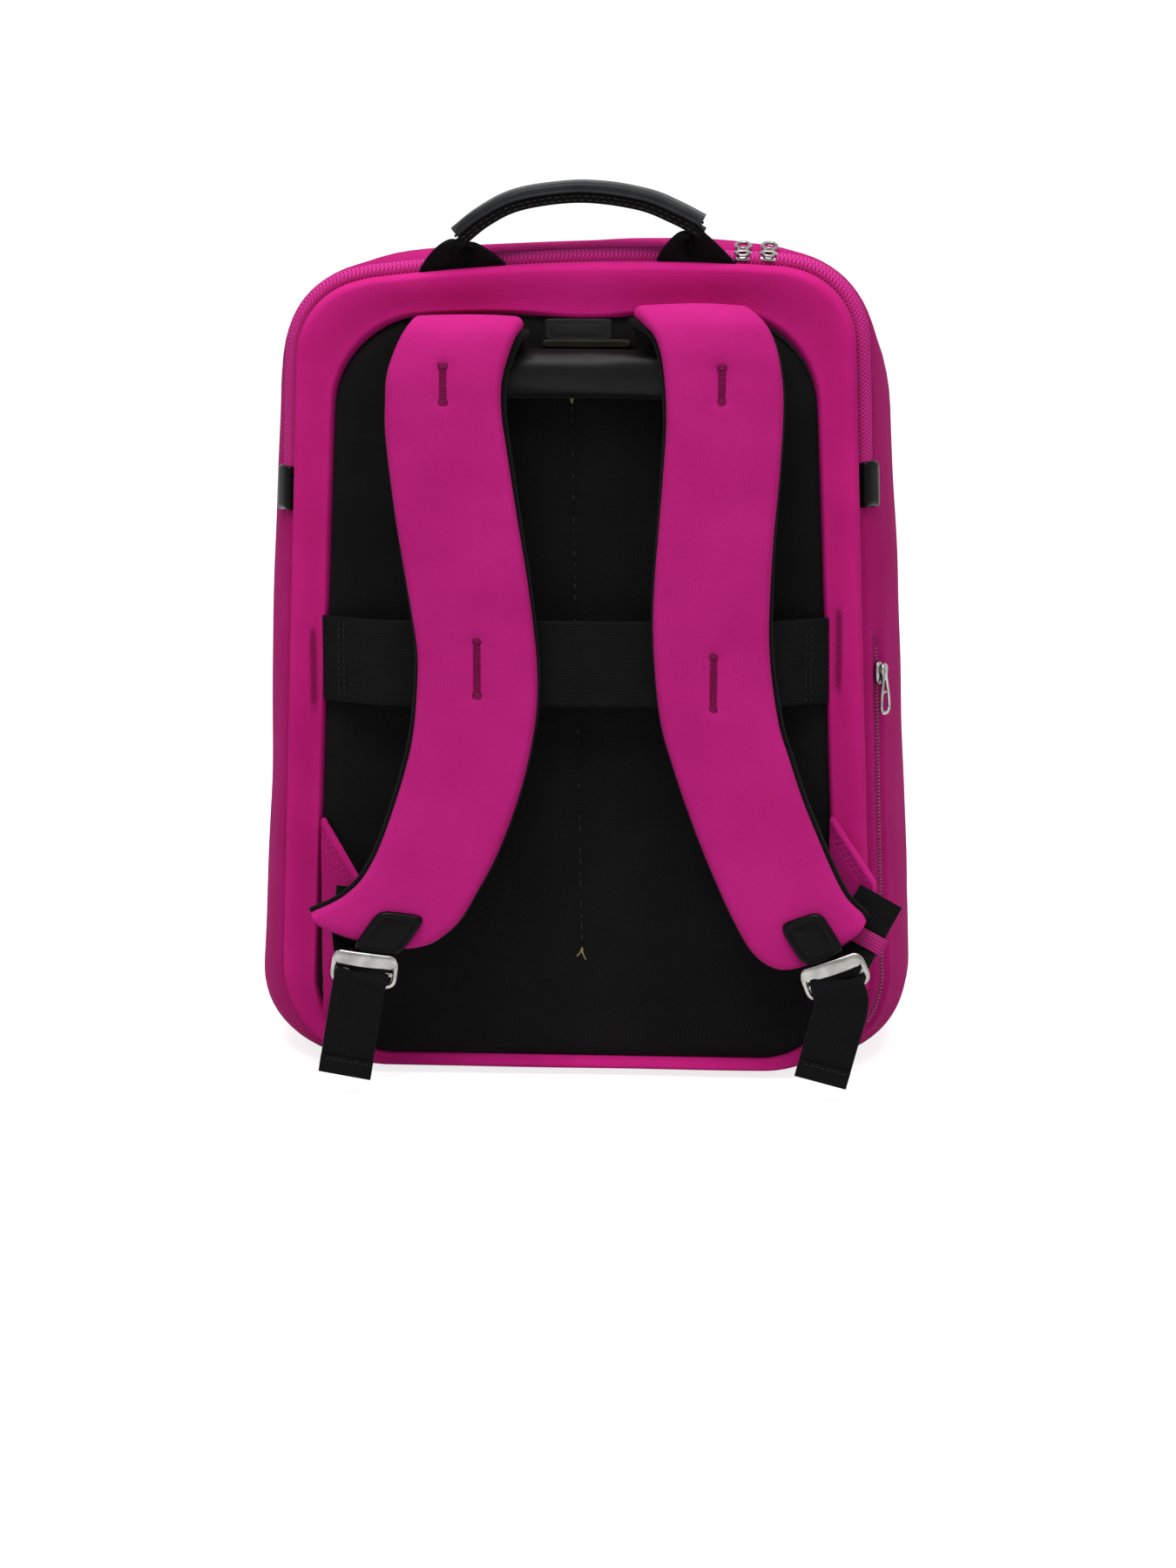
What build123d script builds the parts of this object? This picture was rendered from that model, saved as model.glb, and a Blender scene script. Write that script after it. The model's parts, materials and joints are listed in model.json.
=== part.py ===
"""Travel laptop backpack with a trolley band, padded shoulder straps and a mouth that opens on a zip.

Millimetres. +Z is up, +X is the wearer's right when the back panel is looked at, and the back panel faces -Y.
The origin is the middle of the flat base, on the surface that the pack stands on.
"""
import os
from math import cos, radians, sin

from build123d import *

# ---------------------------------------------------------------- driving dimensions
REAR_Y = -80.0  # seam between the body and the padded back frame
FRONT_Y = 84.0  # flat of the front panel
WALL = 3.0  # padded outer cloth
LINING = 1.0
GAP = 0.3  # running gap between pieces of different bodies
SPLIT_Z = 284.0  # where the main zip ends and the mouth starts
PANEL_Y = 56.0  # seam between the gusset and the front panel
PANEL_R = 8.0  # rounding of small cloth corners

# Section of the body: y, half width at the foot, half width at the top, foot, top, foot radius, top radius
BODY = [
    (REAR_Y, 141.0, 129.0, 3.0, 378.0, 50.0, 50.0),
    (-60.0, 151.0, 138.3, 0.0, 383.6, 44.0, 53.0),
    (-10.0, 160.0, 142.3, -1.5, 381.0, 36.0, 60.0),
    (40.0, 158.0, 140.0, -1.5, 379.0, 36.0, 60.0),
    (70.0, 147.0, 129.5, 2.5, 368.5, 40.0, 54.0),
    (FRONT_Y, 124.0, 107.0, 22.0, 348.0, 36.0, 44.0),
]
FRAME_T = 11.0  # padded frame, from the seam to its crest
PAD = (124.0, 109.5, 9.0, 358.0, 36.0, 44.0)  # inner outline of the frame, which the pad fills
PAD_T = 8.0
BOARD_T = 2.2
BOARD_IN = 3.6  # board edge to the outer face of the cloth
BASE_HALF_X, BASE_REAR, BASE_FRONT = 100.0, -50.0, 48.0
BASE_BOARD_T = 2.0
BASE_BOARD_HALF_X = 95.0
ROUND = 2.4  # rounding of the padded edges
LABEL_X, LABEL_Z = 5.5, 350.5
LABEL_TAB, LABEL_PATCH = (39.0, 9.0, 3.0, 2.0), (31.0, 7.0, 0.8, 1.0)  # length, height, thickness, corner

# Zips are laid in the wall: depths below the outer face, and widths across the tape
TAPE_T = 1.5
COIL_T = 2.0
SLIT = 1.2  # between the two halves of a zip
TAPE_DEPTH = 0.8  # pocket tapes lie below the outer face
POCKET_TAPE = 8.0
COIL_BAND = 4.8
MAIN_ZIP_Y = -75.0
MAIN_ZIP_FRONT = -70.0
SIDE_ZIP_Y = -70.0
SIDE_ZIP = (22.0, 208.0)  # foot and head of the side pocket's mouth
FRONT_ZIP_Z = 238.0
FRONT_ZIP_HALF = 86.0
POCKET_DEPTH = 6.5  # pocket bag below the outer face
POCKET_T = 1.0
SIDE_BAG = (20.0, 44.0, 212.0)  # front edge, foot and head
FRONT_BAG = (95.0, 60.0, 250.0)  # half width, foot and head
END_COVER_T = 1.6
END_COVERS = (("left", 266.0), ("right", 270.0))  # foot of the leather cover on each end of the main zip

# Laptop sleeve against the back board: room for a body 250 mm wide
SLEEVE_HALF, SLEEVE_FRONT, SLEEVE_TOP, SLEEVE_T = 128.5, -58.0, 255.0, 2.5
DIVIDER_Y, DIVIDER_TOP, DIVIDER_T = 50.0, 190.0, 2.0

# Edges of the straps, from the shoulder to the tip: the edge beside the spine with the end, then the arm side
LEFT_SPINE = [(-20, 372), (-24, 359), (-30, 335), (-29, 300), (-21, 250), (-15.5, 200), (-20.5, 153),
              (-35, 111), (-50.6, 83), (-62, 72.5), (-76, 68.5), (-95, 71), (-112, 76), (-120.5, 81)]
LEFT_ARM = [(-119, 85.5), (-110, 89.5), (-100, 97), (-91, 111), (-82.5, 133), (-71.5, 174), (-71, 205),
            (-79, 262), (-84, 310), (-80.5, 342), (-74, 361), (-71, 372)]
RIGHT_SPINE = [(25, 374), (29, 362), (42, 335), (42, 288), (38, 225), (39, 194), (47, 155), (64, 109),
               (76, 83), (86, 67), (98, 61), (113, 65), (127, 74), (136, 81)]
RIGHT_ARM = [(136, 86), (130, 92), (120, 109), (109.5, 133), (96.5, 171), (91, 210), (93, 266),
             (96.3, 317), (93, 345), (84, 364), (80, 374)]
# Side profile of a strap's outer face, from its root up over the shoulder and down (y, z)
STRAP_SIDE = [(-89.2, 350.0), (-98.0, 361.0), (-108.0, 365.0), (-117.0, 357.0), (-121.0, 335.0),
              (-120.5, 260.0), (-119.0, 190.0), (-121.5, 120.0), (-127.0, 52.0)]
COVER_T = 2.0
FOAM_T = 5.5
LINER_T = 1.8

WEB_W = 25.0
WEB_T = 1.6
BAND_LOW, BAND_HIGH = 180.0, 220.0
BAND_T = 1.8
# Trolley band seen from above, from one seam to the other (x, y)
BAND_LINE = [(-114.5, -90.0), (-106.0, -95.0), (-92.0, -103.5), (92.0, -103.5), (106.0, -95.0), (114.5, -90.0)]
ROLL_X, ROLL_LOW, ROLL_HIGH, ROLL_OUT = 80.0, 322.0, 344.0, 18.0

HANDLE_Y = -81.0
HANDLE_PIVOT_Z = 385.6
HANDLE_LINE = [(-59.0, 393.5), (-32.0, 402.5), (4.0, 406.5), (36.0, 403.5), (61.0, 395.0)]  # underside
GRIP_W, GRIP_T, GRIP_WEB_T = 22.0, 8.0, 4.5
ANCHOR_X = (-52.0, 53.5)
ANCHOR_W = 39.0

FLAP_LOW, FLAP_HIGH = 386.0, 395.6  # webbing flaps of the handle, above the anchors

SLIDER_L, SLIDER_W, SLIDER_T = 11.0, 6.4, 2.2
SLIDER_R = 2.0
SLIDER_LIFT = 0.5
EYE = 2.2
PULL_LIFT = 0.5
PULL_L, PULL_W, PULL_T = 20.0, 6.0, 1.4
PULL_WINDOW = 7.0
TOP_Z = 380.87  # outer face over the main zip
CORNER_X, CORNER_Z, CORNER_R = 84.1, 330.87, 50.0  # arc that the main zip follows at its right corner
ZIP_CLIMB = 22.7  # degrees by which the cloth beside a zip leans away from the frame
LEFT_SLIDER_X = 76.4
RIGHT_SLIDER_TURN = 4.3  # degrees round the corner
SIDE_SLIDER_X, SIDE_SLIDER_Z = 141.1, 192.0
SIDE_LEAN = 0.0308  # the side leans out by this much for each millimetre down
FRONT_SLIDER_X = 70.0

# Each strap's leather tab and buckle: middle of the tab (x, z), and the way it points (x, z)
LEFT_TAB, LEFT_WAY = (-83.5, 77.0), (-0.56, -0.83)
RIGHT_TAB, RIGHT_WAY = (113.0, 75.5), (0.53, -0.85)
TAB_Y = -127.9  # strap's outer face at the tabs
TAB_L, TAB_W, TAB_T = 22.0, 20.0, 2.4
STRAP_LEAN = 0.088  # the strap's end leans out by this much for each millimetre down
BUCKLE_L, BUCKLE_W, BUCKLE_T = 17.0, 31.0, 3.0
BUCKLE_BAR = 2.4
BUCKLE_GAP = 1.1  # between the tab and the buckle
LEFT_TAIL, RIGHT_TAIL = ((-97.5, 52.0), (-104.5, 10.0)), ((124.5, 47.0), (122.5, 12.0))

# Wings: seam (x, y, z), reach outward, head, foot and apex above the seam point
WING_Y = -93.4
WING_Z = 70.0
WING_LEFT = (-119.0, 23.0, 52.0, -55.0, 24.0)
WING_RIGHT = (119.5, 26.0, 52.0, -55.0, 24.0)
WING_T = 3.0
WING_WAY = (0.85, -0.53)  # outward and rearward
# Webbing from each wing's apex, behind the strap and out to the buckle (x, y, z), and the way across it
LEFT_WEB = ((-139.5, -108.8, 90.0), (-108.0, -114.2, 58.0), (-103.0, -124.0, 52.5))
RIGHT_WEB = ((142.5, -108.8, 91.0), (127.5, -114.6, 58.0), (126.0, -124.6, 53.5))
LEFT_ACROSS, RIGHT_ACROSS = (0.71, 0.0, 0.70), (0.88, 0.0, -0.47)
KEEPER_AT = 0.34
KEEPER_L, KEEPER_W, KEEPER_T = 8.0, 28.0, 4.0

os.makedirs("parts", exist_ok=True)


def save(piece, label):
    """Labels a finished piece and writes it as the node of that name."""
    piece.label = label
    export_step(piece, f"parts/{label}.step")


# ---------------------------------------------------------------- shared shapes
def outline(foot, top, low, high, foot_r, top_r, inset=0.0):
    """Rounded trapezoid, wider at its foot, for the open sketch to add."""
    slope = (foot - top) / (high - low)
    foot_half = foot - inset - slope * inset
    top_half = top - inset + slope * inset
    with BuildSketch() as shape:
        with BuildLine():
            Polyline(
                (-foot_half, low + inset), (foot_half, low + inset),
                (top_half, high - inset), (-top_half, high - inset), close=True,
            )
        make_face()
        fillet(shape.vertices().group_by(Axis.Y)[0], foot_r - inset)
        fillet(shape.vertices().group_by(Axis.Y)[-1], top_r - inset)
    return shape.sketch_local


def body_solid(inset):
    """The whole body as one smooth solid, drawn in by inset on every side but the rear."""
    with BuildPart() as solid:
        for y, foot, top, low, high, foot_r, top_r in BODY:
            at = y - inset if y == FRONT_Y else y
            with BuildSketch(Plane.XZ.offset(-at)):
                add(outline(foot, top, low, high, foot_r, top_r, inset))
        loft()
        split(bisect_by=Plane.XY.offset(max(0.0, inset)), keep=Keep.TOP)
    return solid.part


def slab(y_low, y_high, z_low=-10.0, z_high=420.0, x_low=-200.0, x_high=200.0):
    """A block that cuts one band out of the body."""
    with BuildPart() as block:
        with BuildSketch(Plane.XY.offset(z_low)):
            with Locations(((x_low + x_high) / 2, (y_low + y_high) / 2)):
                Rectangle(x_high - x_low, y_high - y_low)
        extrude(amount=z_high - z_low)
    return block.part


def curve_sides(points, near, far, stations=28):
    """Two rows of points beside a smooth curve, near and far from it, along its left-hand normal."""
    guide = Spline(*points, mode=Mode.PRIVATE)
    rows = ([], [])
    for i in range(stations + 1):
        place = guide.position_at(i / stations)
        way = guide.tangent_at(i / stations)
        for row, distance in zip(rows, (near, far)):
            row.append((place.X - way.Y * distance, place.Y + way.X * distance))
    return rows


def ribbon_face(points, near, far):
    """Closed band between two offsets of a smooth curve, for the open sketch to add."""
    near_row, far_row = curve_sides(points, near, far)
    with BuildSketch() as shape:
        with BuildLine():
            Spline(*near_row)
            Line(near_row[-1], far_row[-1])
            Spline(*far_row[::-1])
            Line(far_row[0], near_row[0])
        make_face()
    return shape.sketch_local


def layer(near, far):
    """Cloth layer of the body between two depths below its outer face."""
    with BuildPart() as shell:
        add(body_solid(near))
        add(body_solid(far), mode=Mode.SUBTRACT)
    return shell.part


def part_of(source, *blocks, take=()):
    """Pieces of a layer that lie inside every block, with the take solids removed."""
    with BuildPart() as piece:
        add(source)
        for block in blocks:
            add(block, mode=Mode.INTERSECT)
        for cutter in take:
            add(cutter, mode=Mode.SUBTRACT)
    return piece.part


def plate(centre, along, across, length, width, thickness, radius=0.0, holes=()):
    """Flat rounded plate about its centre; holes are (along, across, length, width)."""
    place = Plane(origin=centre, x_dir=along, z_dir=Vector(*along).cross(Vector(*across)))
    with BuildPart() as piece:
        with BuildSketch(place):
            if radius:
                RectangleRounded(length, width, radius)
            else:
                Rectangle(length, width)
            for at_x, at_y, long, wide in holes:
                with Locations((at_x, at_y)):
                    Rectangle(long, wide, mode=Mode.SUBTRACT)
        extrude(amount=thickness / 2, both=True)
    return piece.part


wall = layer(0.0, WALL)
lining = layer(WALL, WALL + LINING)
above = slab(-300.0, 300.0, SPLIT_Z + GAP)
below = slab(-300.0, 300.0, -50.0, SPLIT_Z - GAP)

# Pocket mouths: a long block through the wall, and the slit between the halves of its zip
side_mouth = slab(SIDE_ZIP_Y - POCKET_TAPE / 2, SIDE_ZIP_Y + POCKET_TAPE / 2, *SIDE_ZIP, 100.0, 200.0)
side_coil_room = slab(SIDE_ZIP_Y - COIL_BAND / 2, SIDE_ZIP_Y + COIL_BAND / 2,
                      SIDE_ZIP[0] + 3, SIDE_ZIP[1] - 3, 100.0, 200.0)
side_slit = slab(SIDE_ZIP_Y - SLIT / 2, SIDE_ZIP_Y + SLIT / 2, SIDE_ZIP[0] + 9, SIDE_ZIP[1] - 6, 100.0, 200.0)
front_mouth = slab(FRONT_Y - 20, FRONT_Y + 20, FRONT_ZIP_Z - POCKET_TAPE / 2, FRONT_ZIP_Z + POCKET_TAPE / 2,
                   -FRONT_ZIP_HALF, FRONT_ZIP_HALF)
front_coil_room = slab(FRONT_Y - 20, FRONT_Y + 20, FRONT_ZIP_Z - COIL_BAND / 2, FRONT_ZIP_Z + COIL_BAND / 2,
                       3 - FRONT_ZIP_HALF, FRONT_ZIP_HALF - 3)
front_slit = slab(FRONT_Y - 20, FRONT_Y + 20, FRONT_ZIP_Z - SLIT / 2, FRONT_ZIP_Z + SLIT / 2,
                  9 - FRONT_ZIP_HALF, FRONT_ZIP_HALF - 6)
with BuildPart() as base_hole:
    with BuildSketch(Plane.XY.offset(-5)):
        with Locations((0, (BASE_REAR + BASE_FRONT) / 2)):
            RectangleRounded(2 * BASE_HALF_X, BASE_FRONT - BASE_REAR, PANEL_R)
    extrude(amount=WALL + 5)

# ---------------------------------------------------------------- body shell, below the mouth
save(part_of(wall, below, slab(-100.0, PANEL_Y), take=(side_mouth, base_hole.part)), "gusset_lower")
save(part_of(wall, below, slab(PANEL_Y, 100.0), take=(front_mouth,)), "front_panel_lower")
save(part_of(wall, below, slab(-60.0, PANEL_Y, -1.0, WALL), base_hole.part), "base_panel")
save(part_of(lining, below, slab(REAR_Y + BOARD_T, 100.0), take=(side_mouth, front_mouth)), "lining_lower")
board_top = WALL + LINING + BASE_BOARD_T
board_block = slab(BASE_REAR, BASE_FRONT, 0.0, board_top, -BASE_BOARD_HALF_X, BASE_BOARD_HALF_X)
save(part_of(body_solid(WALL + LINING), board_block), "base_board")

# ---------------------------------------------------------------- padded back
with BuildPart() as back_frame:
    with BuildSketch(Plane.XZ.offset(-REAR_Y)):
        add(outline(*BODY[0][1:]))
    extrude(amount=FRAME_T)
    with BuildSketch(Plane.XZ.offset(-REAR_Y)):
        add(outline(*PAD))
    extrude(amount=FRAME_T, mode=Mode.SUBTRACT)
    fillet(back_frame.faces().sort_by(Axis.Y)[0].edges(), ROUND)
save(back_frame.part, "back_frame")

with BuildPart() as back_pad:
    with BuildSketch(Plane.XZ.offset(-REAR_Y)):
        add(outline(*PAD))
    extrude(amount=PAD_T)
    fillet(back_pad.faces().sort_by(Axis.Y)[0].edges(), ROUND)
save(back_pad.part, "back_pad")

with BuildPart() as back_board:
    with BuildSketch(Plane.XZ.offset(-REAR_Y)):
        add(outline(*BODY[0][1:], BOARD_IN))
    extrude(amount=-BOARD_T)
save(back_board.part, "back_board")

pad_face = REAR_Y - PAD_T
with BuildPart() as yoke_roll:
    with BuildSketch(Plane.YZ.offset(-ROLL_X)):
        with Locations((pad_face - ROLL_OUT / 2, (ROLL_LOW + ROLL_HIGH) / 2)):
            RectangleRounded(ROLL_OUT, ROLL_HIGH - ROLL_LOW, 7.0)
    extrude(amount=2 * ROLL_X)
save(yoke_roll.part, "yoke_roll")

tab_y = pad_face - GAP - LABEL_TAB[2] / 2
patch_y = tab_y - (LABEL_TAB[2] + LABEL_PATCH[2]) / 2
save(plate((LABEL_X, tab_y, LABEL_Z), (1, 0, 0), (0, 0, 1), *LABEL_TAB), "label_tab")
save(plate((LABEL_X, patch_y, LABEL_Z), (1, 0, 0), (0, 0, 1), *LABEL_PATCH), "label_patch")

with BuildPart() as luggage_band:
    with BuildSketch(Plane.XY.offset(BAND_LOW)):
        with BuildLine() as band_line:
            Polyline(*BAND_LINE)
            offset(amount=BAND_T / 2, kind=Kind.INTERSECTION)
        make_face()
    extrude(amount=BAND_HIGH - BAND_LOW)
save(luggage_band.part, "luggage_band")

# ---------------------------------------------------------------- inside
room = body_solid(WALL + LINING + GAP)
sleeve_outside = slab(REAR_Y + BOARD_T, SLEEVE_FRONT, 0.0, SLEEVE_TOP, -SLEEVE_HALF, SLEEVE_HALF)
sleeve_inside = slab(REAR_Y, SLEEVE_FRONT - SLEEVE_T, 0.0, 400.0, SLEEVE_T - SLEEVE_HALF, SLEEVE_HALF - SLEEVE_T)
sleeve_room = part_of(body_solid(WALL + LINING + GAP + SLEEVE_T), sleeve_inside)
save(part_of(room, sleeve_outside, take=(sleeve_room,)), "laptop_sleeve")
save(part_of(room, slab(DIVIDER_Y - DIVIDER_T, DIVIDER_Y, 0.0, DIVIDER_TOP)), "organiser_divider")

# ---------------------------------------------------------------- main zip
tape_layer = layer(0.0, TAPE_T)
coil_layer = layer(TAPE_T, TAPE_T + COIL_T)
save(part_of(tape_layer, above, slab(REAR_Y, MAIN_ZIP_Y - SLIT / 2)), "main_tape_rear")
save(part_of(coil_layer, above, slab(MAIN_ZIP_Y - COIL_BAND / 2, MAIN_ZIP_Y - SLIT / 2)), "main_coil_rear")
save(part_of(tape_layer, above, slab(MAIN_ZIP_Y + SLIT / 2, MAIN_ZIP_FRONT)), "main_tape_front")
save(part_of(coil_layer, above, slab(MAIN_ZIP_Y + SLIT / 2, MAIN_ZIP_Y + COIL_BAND / 2)), "main_coil_front")
end_cover = layer(-END_COVER_T, 0.0)
for side, low in END_COVERS:
    reach = (-200.0, 0.0) if side == "left" else (0.0, 200.0)
    save(part_of(end_cover, slab(REAR_Y, MAIN_ZIP_FRONT, low, SPLIT_Z - GAP, *reach)), f"zip_end_tab_{side}")

# ---------------------------------------------------------------- mouth
save(part_of(wall, above, slab(MAIN_ZIP_FRONT, PANEL_Y)), "gusset_top")
save(part_of(wall, above, slab(PANEL_Y, 100.0)), "front_panel_top")
save(part_of(lining, above, slab(MAIN_ZIP_FRONT, 100.0)), "lining_top")

# ---------------------------------------------------------------- pocket zips and bags
pocket_tape = layer(TAPE_DEPTH, TAPE_DEPTH + TAPE_T)
pocket_coil = layer(TAPE_DEPTH + TAPE_T, TAPE_DEPTH + TAPE_T + COIL_T)
bag = layer(POCKET_DEPTH, POCKET_DEPTH + POCKET_T)
save(part_of(pocket_tape, side_mouth, take=(side_slit,)), "side_zip_tape")
save(part_of(pocket_coil, side_coil_room, take=(side_slit,)), "side_zip_coil")
side_bag_front, side_bag_low, side_bag_high = SIDE_BAG
save(part_of(bag, slab(REAR_Y + BOARD_T + GAP, side_bag_front, side_bag_low, side_bag_high, 100.0, 200.0)),
     "side_pocket_bag")
save(part_of(pocket_tape, front_mouth, take=(front_slit,)), "front_zip_tape")
save(part_of(pocket_coil, front_coil_room, take=(front_slit,)), "front_zip_coil")
front_bag_half, front_bag_low, front_bag_high = FRONT_BAG
save(part_of(bag, slab(FRONT_Y - 12, 100.0, front_bag_low, front_bag_high, -front_bag_half, front_bag_half)),
     "front_pocket_bag")


def slider(centre, along, outward, inward, name):
    """Zip slider: a plate over the tape, an eye for the pull, and a keel down the slit. Returns the eye."""
    place = Plane(origin=centre, x_dir=along, z_dir=outward)
    keel_depth = TAPE_T + COIL_T
    keel_place = Plane(origin=centre, x_dir=along, z_dir=inward)
    with BuildPart() as piece:
        with BuildSketch(place.offset(SLIDER_LIFT)):
            RectangleRounded(SLIDER_L, SLIDER_W, SLIDER_R)
        extrude(amount=SLIDER_T)
        with BuildSketch(place.offset(SLIDER_LIFT + SLIDER_T)):
            Rectangle(EYE, EYE)
        extrude(amount=PULL_LIFT + PULL_T + 0.5)
        with BuildSketch(keel_place.offset(-SLIDER_LIFT - SLIDER_T / 2)):
            Rectangle(SLIDER_L - 3, SLIT / 2)
        extrude(amount=keel_depth + SLIDER_LIFT + SLIDER_T / 2)
    save(piece.part, name)
    return Vector(*centre) + Vector(*outward) * (SLIDER_LIFT + SLIDER_T + PULL_LIFT + PULL_T / 2)


def pull(eye, way, across, name):
    """Zip pull: a flat plate with a grip window, and a loop that stands round the slider's eye."""
    loop = EYE + 1.2
    middle = eye + Vector(*way) * (PULL_L / 2 - loop)
    grip_at = (PULL_L - PULL_WINDOW) / 2 - 3.0
    save(plate(tuple(middle), way, across, PULL_L, PULL_W, PULL_T, SLIDER_R,
               ((loop - PULL_L / 2, 0, loop, loop), (grip_at, 0, PULL_WINDOW, PULL_W - 3.0))), name)


# ---------------------------------------------------------------- sliders and pulls
climb = radians(ZIP_CLIMB)
turn = radians(RIGHT_SLIDER_TURN)
eye = slider((LEFT_SLIDER_X, MAIN_ZIP_Y, TOP_Z), (1, 0, 0), (0, -sin(climb), cos(climb)), (0, 0, -1),
             "main_slider_left")
pull(eye, (0, cos(climb), sin(climb)), (1, 0, 0), "main_pull_left")
corner = (CORNER_X + CORNER_R * sin(turn), MAIN_ZIP_Y, CORNER_Z + CORNER_R * cos(turn))
radial = Vector(sin(turn), 0, cos(turn))
slope = Vector(0, -sin(climb), 0) + radial * cos(climb)
eye = slider(corner, (cos(turn), 0, -sin(turn)), tuple(slope), tuple(-radial), "main_slider_right")
rise = Vector(0, cos(climb), 0) + radial * sin(climb)
pull(eye, tuple(rise), (cos(turn), 0, -sin(turn)), "main_pull_right")

side_down = Vector(SIDE_LEAN, 0, -1).normalized()
side_level = Vector(1, 0, SIDE_LEAN).normalized()
side_out = side_level * cos(climb) + Vector(0, -sin(climb), 0)
seat = Vector(SIDE_SLIDER_X, SIDE_ZIP_Y, SIDE_SLIDER_Z) - side_level * TAPE_DEPTH
eye = slider(tuple(seat), tuple(side_down), tuple(side_out), tuple(-side_level), "side_slider")
pull(eye, tuple(side_down), tuple(side_out.cross(side_down)), "side_pull")

eye = slider((FRONT_SLIDER_X, FRONT_Y - TAPE_DEPTH, FRONT_ZIP_Z), (1, 0, 0), (0, 1, 0), (0, -1, 0),
             "front_slider")
pull(eye, (0, 0, -1), (1, 0, 0), "front_pull")

# ---------------------------------------------------------------- carry handle
for side, x in zip(("left", "right"), ANCHOR_X):
    low, high = BODY[0][4], HANDLE_PIVOT_Z - 0.4
    save(plate((x, HANDLE_Y, (low + high) / 2), (1, 0, 0), (0, 0, 1), ANCHOR_W, high - low, WEB_T),
         f"handle_anchor_{side}")

grip_web = ribbon_face(HANDLE_LINE, 0.0, GRIP_WEB_T)
grip = ribbon_face(HANDLE_LINE, GRIP_WEB_T, GRIP_WEB_T + GRIP_T)
with BuildPart() as handle_webbing:
    with BuildSketch(Plane.XZ.offset(-HANDLE_Y)):
        add(grip_web)
    extrude(amount=GRIP_W / 2 - 1.0, both=True)
    with BuildSketch(Plane.XZ.offset(-HANDLE_Y)):
        for x in ANCHOR_X:
            with Locations((x, (FLAP_LOW + FLAP_HIGH) / 2)):
                Rectangle(ANCHOR_W - 1, FLAP_HIGH - FLAP_LOW)
    extrude(amount=WEB_T / 2, both=True)
save(handle_webbing.part, "handle_webbing")

with BuildPart() as handle_grip:
    with BuildSketch(Plane.XZ.offset(-HANDLE_Y)):
        add(grip)
    extrude(amount=GRIP_W / 2, both=True)
save(handle_grip.part, "handle_grip")


# ---------------------------------------------------------------- shoulder straps
def strap_layer(spine, arm, near, far):
    """One layer of a strap: its outline seen from behind, kept between two offsets of the side profile."""
    with BuildPart() as across:
        with BuildSketch(Plane.XZ):
            with BuildLine():
                Spline(*spine)
                Line(spine[-1], arm[0])
                Spline(*arm)
                Line(arm[-1], spine[0])
            make_face()
        extrude(amount=170.0)
    profile = ribbon_face(STRAP_SIDE, near, far)
    with BuildPart() as piece:
        with BuildSketch(Plane.YZ.offset(-160.0)):
            add(profile)
        extrude(amount=320.0)
        add(across.part, mode=Mode.INTERSECT)
    return piece.part


def strap(side, spine, arm, tab, way, tail):
    """A shoulder strap with its leather tab, and the buckle and webbing tail that hang from the tab."""
    save(strap_layer(spine, arm, 0.0, COVER_T), f"strap_cover_{side}")
    save(strap_layer(spine, arm, COVER_T, COVER_T + FOAM_T), f"strap_foam_{side}")
    save(strap_layer(spine, arm, COVER_T + FOAM_T, COVER_T + FOAM_T + LINER_T), f"strap_liner_{side}")
    down = Vector(way[0], STRAP_LEAN * way[1], way[1]).normalized()
    face = Vector(0, -1, -STRAP_LEAN).normalized()
    across = face.cross(down)
    middle = Vector(tab[0], TAB_Y, tab[1])
    save(plate(tuple(middle), tuple(down), tuple(across), TAB_L, TAB_W, TAB_T, 4.0), f"strap_tab_{side}")
    buckle = middle + down * (TAB_L / 2 + BUCKLE_GAP + BUCKLE_L / 2)
    window = (BUCKLE_L - 6.0 - 2 * BUCKLE_BAR) / 2
    reach = BUCKLE_L / 2
    save(plate(tuple(buckle), tuple(down), tuple(across), BUCKLE_L, BUCKLE_W, BUCKLE_T, 3.0,
               ((6.0 + window / 2 - reach, 0, window, WEB_W + 1.4),
                (reach - BUCKLE_BAR - window / 2, 0, window, WEB_W + 1.4))), f"buckle_{side}")
    (head_x, head_z), (foot_x, foot_z) = tail
    tail_y = buckle.Y - BUCKLE_T / 2 - WEB_T / 2 - 1.2
    head, foot = Vector(head_x, tail_y, head_z), Vector(foot_x, tail_y, foot_z)
    run = (foot - head).normalized()
    save(plate(tuple((head + foot) / 2), tuple(run), tuple(run.cross(Vector(0, 1, 0))),
               (foot - head).length, WEB_W, WEB_T), f"tail_{side}")


strap("left", LEFT_SPINE, LEFT_ARM, LEFT_TAB, LEFT_WAY, LEFT_TAIL)
strap("right", RIGHT_SPINE, RIGHT_ARM, RIGHT_TAB, RIGHT_WAY, RIGHT_TAIL)


# ---------------------------------------------------------------- wings and their webbing
def across_run(run, across):
    """The across direction made square to the run of a webbing."""
    across = Vector(*across)
    return tuple(across - run * across.dot(run))


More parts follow.
